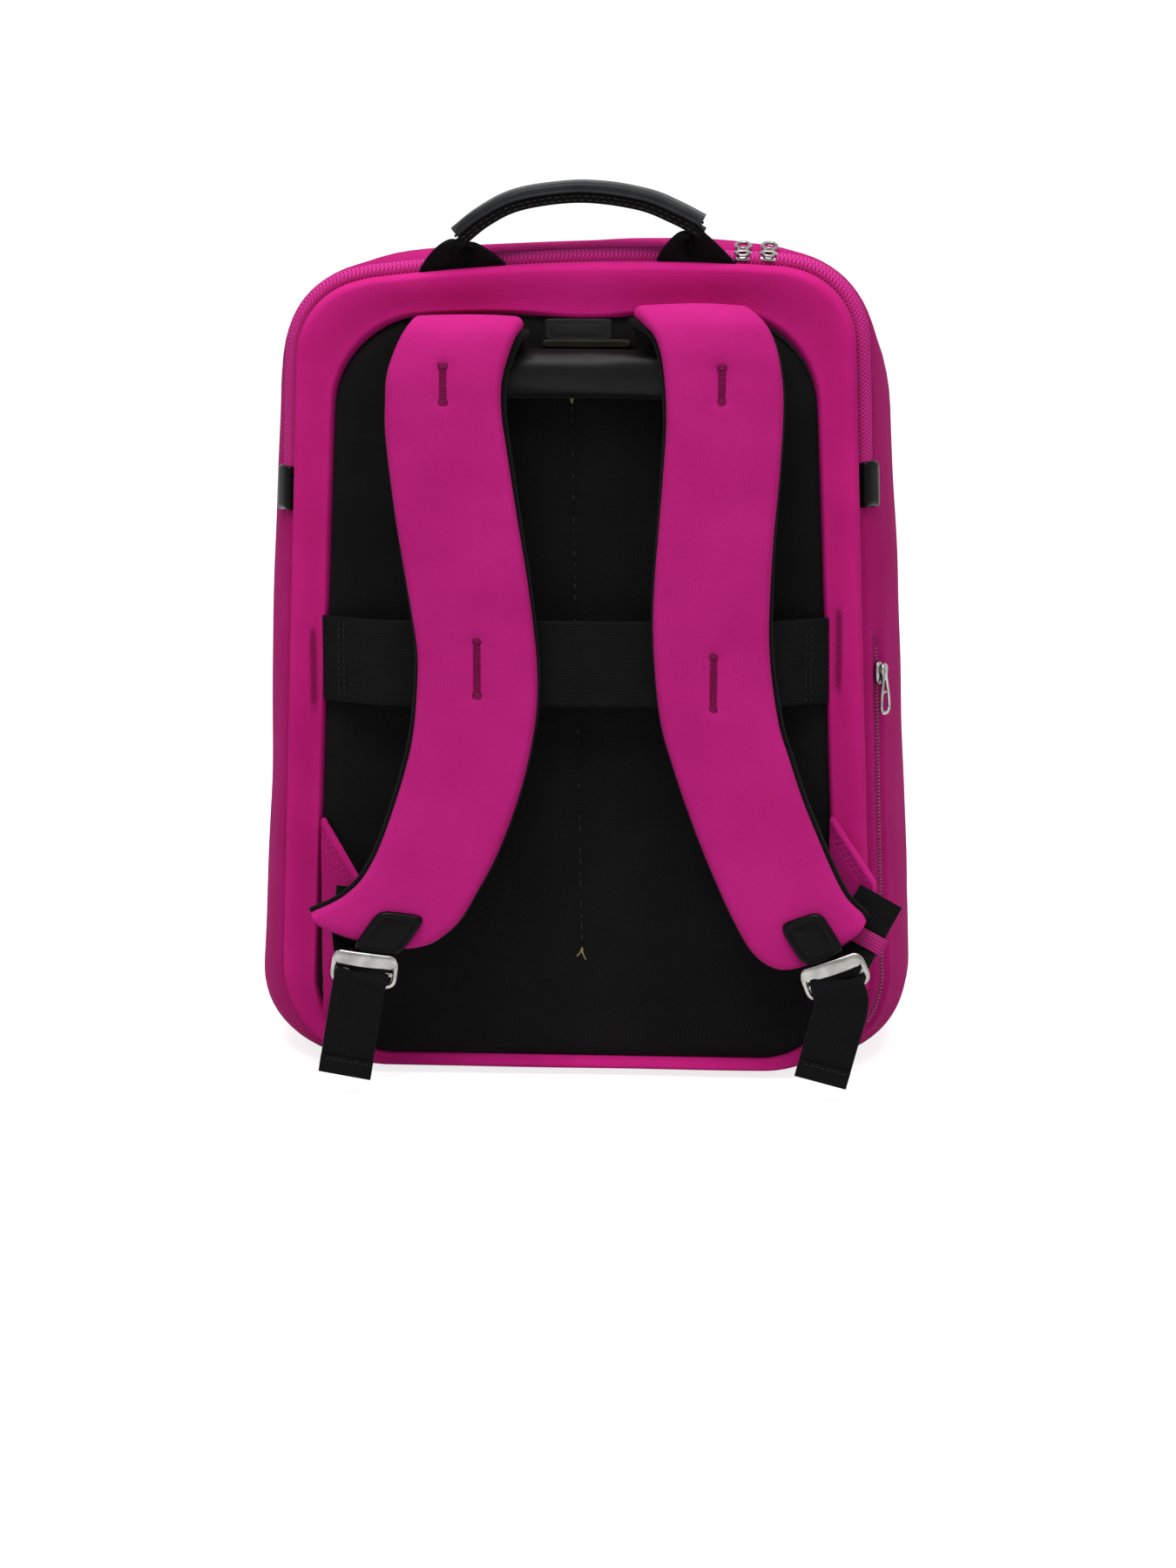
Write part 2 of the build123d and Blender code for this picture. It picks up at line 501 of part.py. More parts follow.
def wing(side, mirror, spec, web, across):
    """Padded wing in the side seam, with the webbing sewn to its apex and the elastic keeper on it."""
    seam_x, reach, head, foot, apex = spec
    outward = Vector(mirror * WING_WAY[0], WING_WAY[1], 0).normalized()
    place = Plane(origin=(seam_x, WING_Y, WING_Z), x_dir=outward, z_dir=outward.cross(Vector(0, 0, 1)))
    with BuildPart() as piece:
        with BuildSketch(place):
            with BuildLine():
                Polyline((0, head), (0, foot), (reach - 3, apex - 9), (reach, apex + 3), close=True)
            make_face()
        extrude(amount=WING_T / 2, both=True)
    save(piece.part, f"wing_{side}")
    start, bend, end = (Vector(*point) for point in web)
    run = (bend - start).normalized()
    last = (end - bend).normalized()
    with BuildPart() as webbing:
        add(plate(tuple((start + bend) / 2), tuple(run), across, (bend - start).length + WEB_T, WEB_W - 2, WEB_T))
        add(plate(tuple((bend + end) / 2), tuple(last), across, (end - bend).length + WEB_T, WEB_W - 2, WEB_T))
    save(webbing.part, f"wing_webbing_{side}")
    keeper = start + (bend - start) * KEEPER_AT
    place = Plane(origin=tuple(keeper), x_dir=across_run(run, across), z_dir=tuple(run))
    with BuildPart() as ring:
        with BuildSketch(place):
            RectangleRounded(KEEPER_W, KEEPER_T, 1.8)
            Rectangle(WEB_W - 1.4, WEB_T + 0.6, mode=Mode.SUBTRACT)
        extrude(amount=KEEPER_L / 2, both=True)
    save(ring.part, f"keeper_{side}")


wing("left", -1, WING_LEFT, LEFT_WEB, LEFT_ACROSS)
wing("right", 1, WING_RIGHT, RIGHT_WEB, RIGHT_ACROSS)
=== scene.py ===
"""Travel backpack: the visible surfaces, their finishes, the light and the camera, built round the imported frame.

Lengths are written in millimetres in the row frame and turned to metres when a mesh is made. +Z is up, +X is to the
right when the padded back is looked at, and the back faces -Y.
"""

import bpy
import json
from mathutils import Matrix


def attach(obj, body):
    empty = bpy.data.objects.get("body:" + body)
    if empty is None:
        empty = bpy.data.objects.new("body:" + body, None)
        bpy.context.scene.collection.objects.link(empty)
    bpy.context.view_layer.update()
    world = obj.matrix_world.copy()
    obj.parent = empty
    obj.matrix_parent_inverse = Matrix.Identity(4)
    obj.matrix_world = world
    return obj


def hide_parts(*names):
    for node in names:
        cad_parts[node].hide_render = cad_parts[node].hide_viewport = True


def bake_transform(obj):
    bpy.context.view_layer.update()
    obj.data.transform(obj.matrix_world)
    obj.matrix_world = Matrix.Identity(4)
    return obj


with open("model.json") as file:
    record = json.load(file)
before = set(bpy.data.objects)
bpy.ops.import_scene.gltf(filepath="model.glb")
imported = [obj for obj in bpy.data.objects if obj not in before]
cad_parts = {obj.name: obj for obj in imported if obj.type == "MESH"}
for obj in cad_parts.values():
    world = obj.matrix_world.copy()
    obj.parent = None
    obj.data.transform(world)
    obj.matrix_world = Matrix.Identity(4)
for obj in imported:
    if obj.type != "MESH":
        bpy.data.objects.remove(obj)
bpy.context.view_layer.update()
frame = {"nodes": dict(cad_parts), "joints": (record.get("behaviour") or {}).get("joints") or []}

import json
import logging
import math
from dataclasses import dataclass, field
from enum import Enum
from typing import ClassVar

import bmesh
import bpy
import numpy as np

log = logging.getLogger("backpack")
MM = 0.001  # metres in a millimetre
Array = np.ndarray
Piece = bpy.types.Object
Socket = bpy.types.NodeSocket
Material = bpy.types.Material


# ------------------------------------------------------------------ numbers on a grid
def smooth(t: Array) -> Array:
    """Cubic ease of t held to 0..1: 3t^2 - 2t^3."""
    t = np.clip(t, 0.0, 1.0)
    return t * t * (3.0 - 2.0 * t)


def through(points: list, count: int, even: bool = True) -> Array:
    """A smooth line through a few points.

    Each stretch is the Catmull-Rom cubic of its four nearest points, and the result is then spaced evenly by length.

    Args:
        points: the points to pass, as rows of coordinates.
        count: how many points to return.
        even: False keeps the stretches in equal parts, so that two lines with as many points stay in step.

    Returns:
        The line, as count rows.
    """
    p = np.asarray(points, float)
    p = np.vstack([2 * p[0] - p[1], p, 2 * p[-1] - p[-2]])
    dense = count if not even else max(600, count * 4)
    t = np.linspace(0.0, len(p) - 3.0, dense)
    k = np.minimum(t.astype(int), len(p) - 4)
    f = (t - k)[:, None]
    a, b, c, d = p[k], p[k + 1], p[k + 2], p[k + 3]
    line = 0.5 * (2 * b + (c - a) * f + (2 * a - 5 * b + 4 * c - d) * f**2 + (3 * b - a - 3 * c + d) * f**3)
    if not even:
        return line
    along = lengths(line)
    return read_rows(line, along, np.linspace(0.0, along[-1], count))


def lengths(line: Array) -> Array:
    """Length run so far at each point of a line."""
    return np.concatenate([[0.0], np.cumsum(np.linalg.norm(np.diff(line, axis=0), axis=1))])


def read_rows(rows: Array, known: Array, at: Array) -> Array:
    """The rows that are given at the values known, read in straight stretches between them at the values at."""
    return np.stack([np.interp(at, known, column) for column in rows.T], axis=1)


def squared_off(wave: Array, power: float) -> Array:
    """A sine or cosine drawn toward a square wave: its sign times its size to a power under 1."""
    return np.sign(wave) * np.abs(wave) ** power


def unit(v: Array) -> Array:
    """Rows of v at length 1."""
    v = np.asarray(v, float)
    return v / np.maximum(np.linalg.norm(v, axis=-1, keepdims=True), 1e-12)


def natural_cubic(xs: Array, ys: Array, at: Array) -> Array:
    """Natural cubic spline of the columns of ys over xs, read at the places in at.

    Args:
        xs: the known places, rising.
        ys: the values there, one row per place.
        at: the places to read.

    Returns:
        The values at those places, as rows.
    """
    n = len(xs)
    h = np.diff(xs)
    m = np.eye(n)
    rhs = np.zeros((n, ys.shape[1]))
    inner = np.arange(1, n - 1)
    m[inner, inner - 1] = h[:-1]
    m[inner, inner] = 2 * (h[:-1] + h[1:])
    m[inner, inner + 1] = h[1:]
    slope = np.diff(ys, axis=0) / h[:, None]
    rhs[inner] = 6 * np.diff(slope, axis=0)
    bend = np.linalg.solve(m, rhs)
    k = np.clip(np.searchsorted(xs, at) - 1, 0, n - 2)
    left, right, step = (xs[k + 1] - at)[:, None], (at - xs[k])[:, None], h[k][:, None]
    return ((bend[k] * left**3 + bend[k + 1] * right**3) / (6 * step)
            + (ys[k] / step - bend[k] * step / 6) * left + (ys[k + 1] / step - bend[k + 1] * step / 6) * right)


CORNER_STEPS, SIDE_STEPS, FLAT_STEPS = 16, 44, 22


def rounded_outline(sizes: Array) -> tuple[Array, Array]:
    """Rounded trapezoids, one per row of sizes, with as many points each.

    Half of the outline is the foot's flat, an arc that turns from straight down to the lean of the side, the straight
    side, an arc that turns on to straight up, and the top's flat. The other half is its mirror.

    Args:
        sizes: rows of foot half width, top half width, foot, top, foot radius, top radius.

    Returns:
        Points (rows, n, 2) as x and z, from the middle of the foot round by +X, and their outward normals.
    """
    foot, top, low, high, r_foot, r_top = (sizes[:, i:i + 1] for i in range(6))
    lean = np.arctan2(foot - top, high - low)
    x_foot = foot - r_foot * (1 + np.sin(lean)) / np.cos(lean)
    x_top = top - r_top * (1 - np.sin(lean)) / np.cos(lean)
    flat = np.linspace(0, 1, FLAT_STEPS, endpoint=False)[None]
    turn = np.linspace(0, 1, CORNER_STEPS, endpoint=False)[None]
    side = np.linspace(0, 1, SIDE_STEPS, endpoint=False)[None]
    a = -math.pi / 2 + turn * (lean + math.pi / 2)
    b = lean + turn * (math.pi / 2 - lean)
    start = np.stack([x_foot + r_foot * np.cos(lean), low + r_foot + r_foot * np.sin(lean)], axis=-1)
    stop = np.stack([x_top + r_top * np.cos(lean), high - r_top + r_top * np.sin(lean)], axis=-1)
    straight = start + (stop - start) * side[..., None]
    level = np.ones_like(foot * flat)
    runs = [np.stack([x_foot * flat, low * level], axis=-1),
            np.stack([x_foot + r_foot * np.cos(a), low + r_foot + r_foot * np.sin(a)], axis=-1),
            straight,
            np.stack([x_top + r_top * np.cos(b), high - r_top + r_top * np.sin(b)], axis=-1),
            np.stack([x_top * (1 - flat), high * level], axis=-1),
            np.stack([0 * foot, high], axis=-1)]
    down, up = np.zeros_like(runs[0]), np.zeros_like(runs[4])
    down[..., 1], up[..., 1] = -1, 1
    leaning = np.broadcast_to(np.stack([np.cos(lean), np.sin(lean)], axis=-1), straight.shape)
    ways = [down, np.stack([np.cos(a), np.sin(a)], axis=-1), leaning,
            np.stack([np.cos(b), np.sin(b)], axis=-1), up, up[:, :1]]
    half, way = np.concatenate(runs, axis=1), np.concatenate(ways, axis=1)
    flip = np.array([-1.0, 1.0])
    return (np.concatenate([half, (half * flip)[:, -2:0:-1]], axis=1),
            np.concatenate([way, (way * flip)[:, -2:0:-1]], axis=1))


def inside_depth(x: Array, z: Array, sizes: tuple) -> Array:
    """How far a point lies inside a rounded trapezoid: the least distance to its sides, rounded at the corners.

    Args:
        x: the points' x.
        z: the points' z.
        sizes: foot and top half width, foot, top, foot radius and top radius.

    Returns:
        A depth per point, which is negative outside.
    """
    foot, top, low, high, r_foot, r_top = sizes
    lean = math.atan2(foot - top, high - low)
    to_side = (foot - np.abs(x)) * math.cos(lean) - (z - low) * math.sin(lean)
    to_end = np.minimum(z - low, high - z)
    r = np.where(z < (low + high) / 2, r_foot, r_top)
    corner = (to_side < r) & (to_end < r)
    round_in = r - np.hypot(r - to_side, r - to_end)
    return np.where(corner, round_in, np.minimum(to_side, to_end))


# ------------------------------------------------------------------ meshes
def mesh_object(name: str, verts: Array, faces: list, uvs: Array | None = None) -> Piece:
    """Puts vertices and faces into a smooth-shaded object at the origin.

    Args:
        name: the piece's name.
        verts: positions in millimetres.
        faces: vertex numbers per face.
        uvs: a surface coordinate per vertex in millimetres, stored as the UV map in metres.

    Returns:
        The object, linked to the scene.
    """
    mesh = bpy.data.meshes.new(name)
    mesh.from_pydata((np.asarray(verts) * MM).tolist(), [], faces)
    mesh.validate()
    mesh.polygons.foreach_set("use_smooth", np.ones(len(mesh.polygons), bool))
    if uvs is not None:
        lay_uv(mesh, np.asarray(uvs) * MM)
    mesh.update()
    made = bpy.data.objects.new(name, mesh)
    bpy.context.scene.collection.objects.link(made)
    return made


def lay_uv(mesh: bpy.types.Mesh, uv: Array) -> None:
    """Keeps a coordinate per vertex, in metres, as the mesh's UV map called surface.

    Args:
        mesh: the mesh.
        uv: a row per vertex.
    """
    layer = mesh.uv_layers.get("surface") or mesh.uv_layers.new(name="surface")
    loops = np.empty(len(mesh.loops), int)
    mesh.loops.foreach_get("vertex_index", loops)
    layer.data.foreach_set("uv", uv[loops].astype(np.float32).ravel())


def points_of(mesh: bpy.types.Mesh) -> Array:
    """The mesh's vertices as rows, in metres.

    Args:
        mesh: the mesh.

    Returns:
        Positions (n, 3).
    """
    co = np.empty(len(mesh.vertices) * 3)
    mesh.vertices.foreach_get("co", co)
    return co.reshape(-1, 3)


def move_points(mesh: bpy.types.Mesh, co: Array) -> None:
    """Puts the mesh's vertices at those rows, in metres."""
    mesh.vertices.foreach_set("co", co.ravel())
    mesh.update()


def grid_faces(nu: int, nv: int, loop_u: bool, loop_v: bool, flip: bool) -> Array:
    """Corner numbers of the quads of an nu by nv grid, wrapped where a direction is a loop.

    Args:
        nu: points in the first direction.
        nv: points in the second.
        loop_u: the first direction closes on itself.
        loop_v: the second does.
        flip: turns the faces over.

    Returns:
        Rows of four numbers.
    """
    i = np.arange(nu if loop_u else nu - 1)[:, None]
    j = np.arange(nv if loop_v else nv - 1)[None]
    a = i * nv + j
    b = ((i + 1) % nu) * nv + j
    c = ((i + 1) % nu) * nv + (j + 1) % nv
    d = i * nv + (j + 1) % nv
    quads = np.stack([a, b, c, d] if not flip else [d, c, b, a], axis=-1)
    return quads.reshape(-1, 4)


def grid_object(name: str, p: Array, loop_u: bool = False, loop_v: bool = False, caps: bool = False,
                flip: bool = False) -> Piece:
    """A surface from a grid of points; its UV map holds the length run along each direction.

    Args:
        name: the piece's name.
        p: points (nu, nv, 3) in millimetres.
        loop_u: the first direction closes on itself.
        loop_v: the second direction closes on itself.
        caps: closes both ends of the first direction with a fan round a middle point.
        flip: turns the faces over.

    Returns:
        The object.
    """
    nu, nv = p.shape[:2]
    run_u = np.cumsum(np.linalg.norm(np.diff(p, axis=0, prepend=p[:1]), axis=-1), axis=0)
    run_v = np.cumsum(np.linalg.norm(np.diff(p, axis=1, prepend=p[:, :1]), axis=-1), axis=1)
    uv = np.stack([run_u, run_v], axis=-1).reshape(-1, 2)
    faces = grid_faces(nu, nv, loop_u, loop_v, flip).tolist()
    verts = p.reshape(-1, 3)
    if caps:
        ring = np.arange(nv)
        after = (ring + 1) % nv
        base = len(verts)
        first, last = np.full(nv, base), np.full(nv, base + 1)
        ends = [np.stack([ring, after, first], -1), np.stack([after + (nu - 1) * nv, ring + (nu - 1) * nv, last], -1)]
        ends = [e[:, ::-1] if flip else e for e in ends]
        faces += ends[0].tolist() + ends[1].tolist()
        verts = np.vstack([verts, p[0].mean(0), p[-1].mean(0)])
        uv = np.vstack([uv, uv[:1], uv[-1:]])
    return mesh_object(name, verts, faces, uv)


def closed_form(name: str, p: Array, flip: bool = False) -> Piece:
    """A closed form from sections (n, m, 3): each section is a ring, and the first and the last are capped."""
    return grid_object(name, p, loop_v=True, caps=True, flip=flip)


def frames_along(line: Array, out: Array) -> tuple[Array, Array, Array]:
    """Along, across and outward directions at each point of a line, with outward kept near the one given.

    Args:
        line: points (n, 3).
        out: the outward direction, one or one per point.

    Returns:
        Three arrays (n, 3).
    """
    along = unit(np.gradient(line, axis=0))
    out = np.broadcast_to(np.asarray(out, float), line.shape)
    out = unit(out - along * np.sum(out * along, axis=1, keepdims=True))
    return along, np.cross(along, out), out


def carried(line: Array, out: Array, profile: Array) -> Array:
    """A profile carried along a line: each point is line + across * profile x + out * profile y.

    Args:
        line: points (n, 3).
        out: the outward direction, one or one per point.
        profile: points (m, 2) or one such set per point of the line (n, m, 2), as across and out.

    Returns:
        Points (n, m, 3).
    """
    _, across, out = frames_along(line, out)
    profile = np.broadcast_to(profile, (len(line),) + profile.shape[-2:])
    return line[:, None] + across[:, None] * profile[..., :1] + out[:, None] * profile[..., 1:]


def hoop(name: str, ring: Array, out: Array, section: Array) -> Piece:
    """A ring with no ends: a section carried round a loop of points.

    Args:
        name: the piece's name.
        ring: the loop (n, 3), whose last point isn't its first.
        out: the outward direction, one or one per point.
        section: the section, as for carried.

    Returns:
        The object.
    """
    out = np.broadcast_to(np.asarray(out, float), ring.shape)
    line, ways = (np.vstack([rows[-1:], rows, rows[:1]]) for rows in (ring, out))
    return grid_object(name, carried(line, ways, section)[1:-1], loop_u=True, loop_v=True)


def welded(piece: Piece) -> Piece:
    """Merges the points that lie together, so that poles and seams close.

    Args:
        piece: the piece.

    Returns:
        The same piece.
    """
    work = bmesh.new()
    work.from_mesh(piece.data)
    bmesh.ops.remove_doubles(work, verts=work.verts, dist=2e-5)
    work.to_mesh(piece.data)
    work.free()
    return piece


def joined(name: str, parts: list[Piece]) -> Piece:
    """One object from several new ones.

    Args:
        name: the piece's name.
        parts: the objects; the first takes in the others.

    Returns:
        The object.
    """
    with bpy.context.temp_override(active_object=parts[0], selected_editable_objects=parts, selected_objects=parts):
        bpy.ops.object.join()
    parts[0].name = name
    parts[0].data.name = name
    return parts[0]


def repeated(name: str, shape: Array, quads: Array, origins: Array, along: Array, across: Array,
             out: Array) -> Piece:
    """One small shape set down at many places, as one piece.

    Args:
        name: the piece's name.
        shape: the shape's points (k, 3), as along, across and out.
        quads: its faces.
        origins: where it goes (n, 3).
        along: its first direction at each place.
        across: its second direction at each place.
        out: its third direction at each place.

    Returns:
        The object.
    """
    n = len(origins)
    spread = (origins[:, None] + along[:, None] * shape[None, :, :1] + across[:, None] * shape[None, :, 1:2]
              + out[:, None] * shape[None, :, 2:])
    faces = (quads[None] + (np.arange(n) * len(shape))[:, None, None]).reshape(-1, quads.shape[1])
    return mesh_object(name, spread.reshape(-1, 3), faces.tolist())


def stitch_shape(length: float, thick: float) -> tuple[Array, Array]:
    """One thread stitch: a six-sided bar that thins and dips at its ends.

    Args:
        length: the stitch's length.
        thick: the thread's thickness.

    Returns:
        Its points, as along, across and out, and its faces.
    """
    s = np.linspace(-1, 1, 5)[:, None]
    a = np.linspace(0, 2 * math.pi, 6, endpoint=False)[None]
    r = thick / 2 * np.sqrt(np.maximum(1 - s**4 * 0.85, 0.1))
    p = np.stack([s * length / 2 + 0 * a, r * np.cos(a), r * np.sin(a) - thick * 0.35 * s**2], axis=-1)
    ends = np.array([[0, 1, 2, 3], [3, 4, 5, 0], [27, 26, 25, 24], [24, 29, 28, 27]])  # two quads close each end
    return p.reshape(-1, 3), np.vstack([grid_faces(5, 6, False, True, False), ends])


def stitches(name: str, line: Array, out: Array, pitch: float, length: float, thick: float) -> Piece:
    """A row of stitches along a line, one each pitch.

    Args:
        name: the piece's name.
        line: the seam (n, 3).
        out: the outward direction, one or one per point.
        pitch: the distance from stitch to stitch.
        length: a stitch's length.
        thick: the thread's thickness.

    Returns:
        The object.
    """
    along = lengths(line)
    at = np.arange(pitch / 2, along[-1], pitch)
    spots = read_rows(line, along, at)
    outs = read_rows(np.broadcast_to(np.asarray(out, float), line.shape), along, at)
    return repeated(name, *stitch_shape(length, thick), spots, *frames_along(spots, outs))


def bars(name: str, spots: Array, along: Array, length: float, thick: float) -> Piece:
    """Short bars of thread on a face that looks to -Y.

    Args:
        name: the piece's name.
        spots: the bars' middles (n, 3).
        along: the way that they lie, one or one per bar.
        length: their length.
        thick: the thread's thickness.

    Returns:
        The object.
    """
    along = np.broadcast_to(np.asarray(along, float), spots.shape)
    out = np.tile([0.0, -1.0, 0.0], (len(spots), 1))
    return repeated(name, *stitch_shape(length, thick), spots, along, np.cross(along, out), out)


# ------------------------------------------------------------------ where things are
@dataclass(frozen=True)
class BodyShape:
    """The body's outer face: rounded trapezoids that swell and draw in from the back seam to the front.

    Each section is y, half width at the foot and at the top, foot, top, foot radius, top radius. Between them each
    size is a natural cubic over the length run through the corner of the sections.
    """
    sections: tuple = ((-80, 141, 129, 3, 378, 50, 38), (-75, 144.7, 132.4, 1.9, 380.7, 47.8, 39),
                       (-70, 147.3, 134.9, 1.1, 382.6, 46.2, 42), (-60, 151, 138, 0, 384.8, 44, 54),
                       (-40, 156.6, 140.8, -0.9, 384.6, 41, 66), (-10, 160, 142.3, -1.5, 382, 40, 74),
                       (40, 158, 140, -1.5, 379, 40, 74), (70, 147, 129.5, 2.5, 368.5, 40, 60),
                       (80, 136.4, 119.2, 11.5, 358.9, 38.2, 50), (83, 130, 112.9, 16.9, 352.9, 37, 46),
                       (84, 124, 107, 22, 348, 36, 44))
    step: float = 0.5

    def sizes(self, y: Array) -> Array:
        """Six sizes of the outline at each y.

        Args:
            y: the depths.

        Returns:
            Foot and top half width, foot, top, foot radius and top radius, a row per depth.
        """
        rows = np.asarray(self.sections, float)
        run = lengths(rows[:, [0, 1, 2, 4]])
        fine = np.linspace(0.0, run[-1], 2000)
        curve = natural_cubic(run, rows, fine)
        return read_rows(curve[:, 1:], curve[:, 0], y)

    def table(self) -> tuple[Array, Array]:
        """Points and outward normals (y, n, 3) for every half millimetre of y; the base is cut flat at z = 0.

        Returns:
            Both as arrays (y, n, 3).
        """
        y = np.arange(self.sections[0][0], self.sections[-1][0] + self.step / 2, self.step)
        ring, way = rounded_outline(self.sizes(y))
        p = np.stack([ring[..., 0], np.broadcast_to(y[:, None], ring.shape[:2]), ring[..., 1]], axis=-1)
        out = np.stack([way[..., 0], np.zeros(way.shape[:2]), way[..., 1]], axis=-1)
        slope = np.sum(np.gradient(p, self.step, axis=0) * out, axis=-1, keepdims=True)
        normal = unit(out - np.array([0, 1, 0]) * slope)
        p[..., 2] = np.maximum(p[..., 2] + crowned(p[..., 0], p[..., 2]), 0.0)
        return p, normal


def crowned(x: Array, z: Array) -> Array:
    """Rise of the top edge: 6.1 + 0.032 x - 0.00048 x^2, held past x = 100, and nothing below the top's corners."""
    x = np.clip(x, -100, 100)
    return (6.1 + 0.032 * x - 0.00048 * x**2) * smooth((z - 300) / 50)


BODY = BodyShape()
SKIN, SKIN_OUT = BODY.table()
AROUND = SKIN.shape[1]
ALL_ROUND = np.arange(AROUND, dtype=float)  # every place round the outline
REAR_Y, FRONT_Y = BODY.sections[0][0], BODY.sections[-1][0]
SPLIT_Z = 284.0  # where the main zip ends and the mouth starts
PANEL_Y = 56.0  # the seam between gusset and front panel
MAIN_ZIP_Y, MAIN_ZIP_FRONT = -75.0, -71.8  # the main zip's middle, and where its front tape meets the gusset
SIDE_ZIP_Y, SIDE_ZIP_LOW, SIDE_ZIP_HIGH = -70.0, 22.0, 208.0
FRONT_ZIP_Z, FRONT_ZIP_HALF = 238.0, 86.0  # the front zip's height and half length
FRAME_OUTER = (139.6, 127.4, 4.4, 376.2, 48.0, 36.0)  # the border's outer edge, just inside the seam
FRAME_INNER = (124.0, 109.5, 9.0, 358.0, 36.0, 44.0)  # its inner edge, where the pad starts
FRAME_T = 11.0  # how far the border stands out


def on_body(columns: Array, y: Array, depth: Array | float = 0.0) -> Array:
    """Points on the body's outer face, or below it.

    Args:
        columns: places round the outline (n,), which may be fractions.
        y: one value, a row (m,) or a grid (n, m).
        depth: distance below the face, in the same form as y.

    Returns:
        Points (n, m, 3).
    """
    y = np.atleast_1d(np.asarray(y, float))
    y = np.broadcast_to(y, (len(columns), y.shape[-1]))
    row = np.clip((y - REAR_Y) / BODY.step, 0, len(SKIN) - 1.001)
    i, f = row.astype(int), (row - row.astype(int))[..., None]
    c = (columns[:, None] + 0 * y) % AROUND
    j, g = c.astype(int), (c - c.astype(int))[..., None]
    k = (j + 1) % AROUND

    def read(table: Array) -> Array:
        """Bilinear reading of a table at the wanted places."""
        return (table[i, j] * (1 - f) + table[i + 1, j] * f) * (1 - g) + (table[i, k] * (1 - f)
                                                                          + table[i + 1, k] * f) * g
    depth = np.broadcast_to(np.asarray(depth, float), y.shape)[..., None]
    return read(SKIN) - unit(read(SKIN_OUT)) * depth


def above_split(columns: Array) -> Array:
    """0 at places round the outline below the mouth, and 1 at places beside it and over it."""
    return smooth((on_body(columns, MAIN_ZIP_Y)[:, 0, 2] - 280.5) / 5.0)


def outward(columns: Array, y: float) -> Array:
    """Steps of a millimetre straight out of the body's face, at places round the outline."""
    return on_body(columns, y, 0.0)[:, 0] - on_body(columns, y, 1.0)[:, 0]


def column_at(z: float, side: int, y: float = MAIN_ZIP_Y) -> float:
    """Place round the outline where the body's side is at a height.

    Args:
        z: the height.
        side: 1 at +X and -1 at -X.
        y: the depth at which the side is read.

    Returns:
        The place, which may be a fraction.
    """
    row = SKIN[int(round((y - REAR_Y) / BODY.step))]
    half = np.arange(1, AROUND // 2)
    at = float(np.interp(z, row[half, 2], half))
    return at if side > 0 else AROUND - at


def frame_edge(sizes: tuple, share: float) -> Array:
    """One rounded trapezoid as x, z points, a row for each place round the outline, with that share of the crown.

    Args:
        sizes: foot and top half width, foot, top, foot radius and top radius.
        share: how much of the top edge's rise it takes on.

    Returns:
        Points (AROUND, 2).
    """
    edge = rounded_outline(np.asarray([sizes], float))[0][0]
    edge[:, 1] += share * crowned(edge[:, 0], edge[:, 1])
    return edge


# ------------------------------------------------------------------ finishes
def linear(code: str) -> tuple[float, float, float, float]:
    """Turns an sRGB hex colour to linear: ((c + 0.055) / 1.055)^2.4, and c / 12.92 near black.

    Args:
        code: the colour, as # and six digits.

    Returns:
        Red, green, blue and an alpha of 1.
    """
    parts = [int(code[i:i + 2], 16) / 255 for i in (1, 3, 5)]
    red, green, blue = (((c + 0.055) / 1.055) ** 2.4 if c > 0.04045 else c / 12.92 for c in parts)
    return red, green, blue, 1.0


class Nodes:
    """A node tree that is built up node by node."""

    def __init__(self, tree: bpy.types.NodeTree) -> None:
        """Takes the tree."""
        self.tree = tree

    def feed(self, node: bpy.types.Node, inputs: dict | list | tuple) -> None:
        """Sets a node's inputs, or links them, in order or by input name or number.

        Args:
            node: the node.
            inputs: values or sockets, in order or by input name or number.
        """
        for key, value in inputs.items() if isinstance(inputs, dict) else enumerate(inputs):
            if isinstance(value, Socket):
                self.tree.links.new(value, node.inputs[key])
            else:
                node.inputs[key].default_value = value

    def add(self, kind: str, inputs: dict | list | tuple, output: str | int = 0, **settings: object) -> Socket:
        """Adds a node, sets it and feeds it.

        Args:
            kind: the node's type, without its ShaderNode prefix.
            inputs: values or sockets, in order or by input name or number.
            output: the output wanted.
            **settings: the node's own settings.

        Returns:
            The wanted output socket.
        """
        node = self.tree.nodes.new("ShaderNode" + kind)
        for key, value in settings.items():
            setattr(node, key, value)
        self.feed(node, inputs)
        return node.outputs[output]

    def seen(self) -> Socket:
        """1 where the camera, a reflection or a view through glass meets it, and 0 where its light falls.

        Returns:
            The socket that carries it.
        """
        seen = self.add("LightPath", {}, "Is Camera Ray")
        for ray in ("Is Glossy Ray", "Is Transmission Ray"):
            seen = self.add("Math", (seen, self.add("LightPath", {}, ray)), operation="MAXIMUM")
        return seen


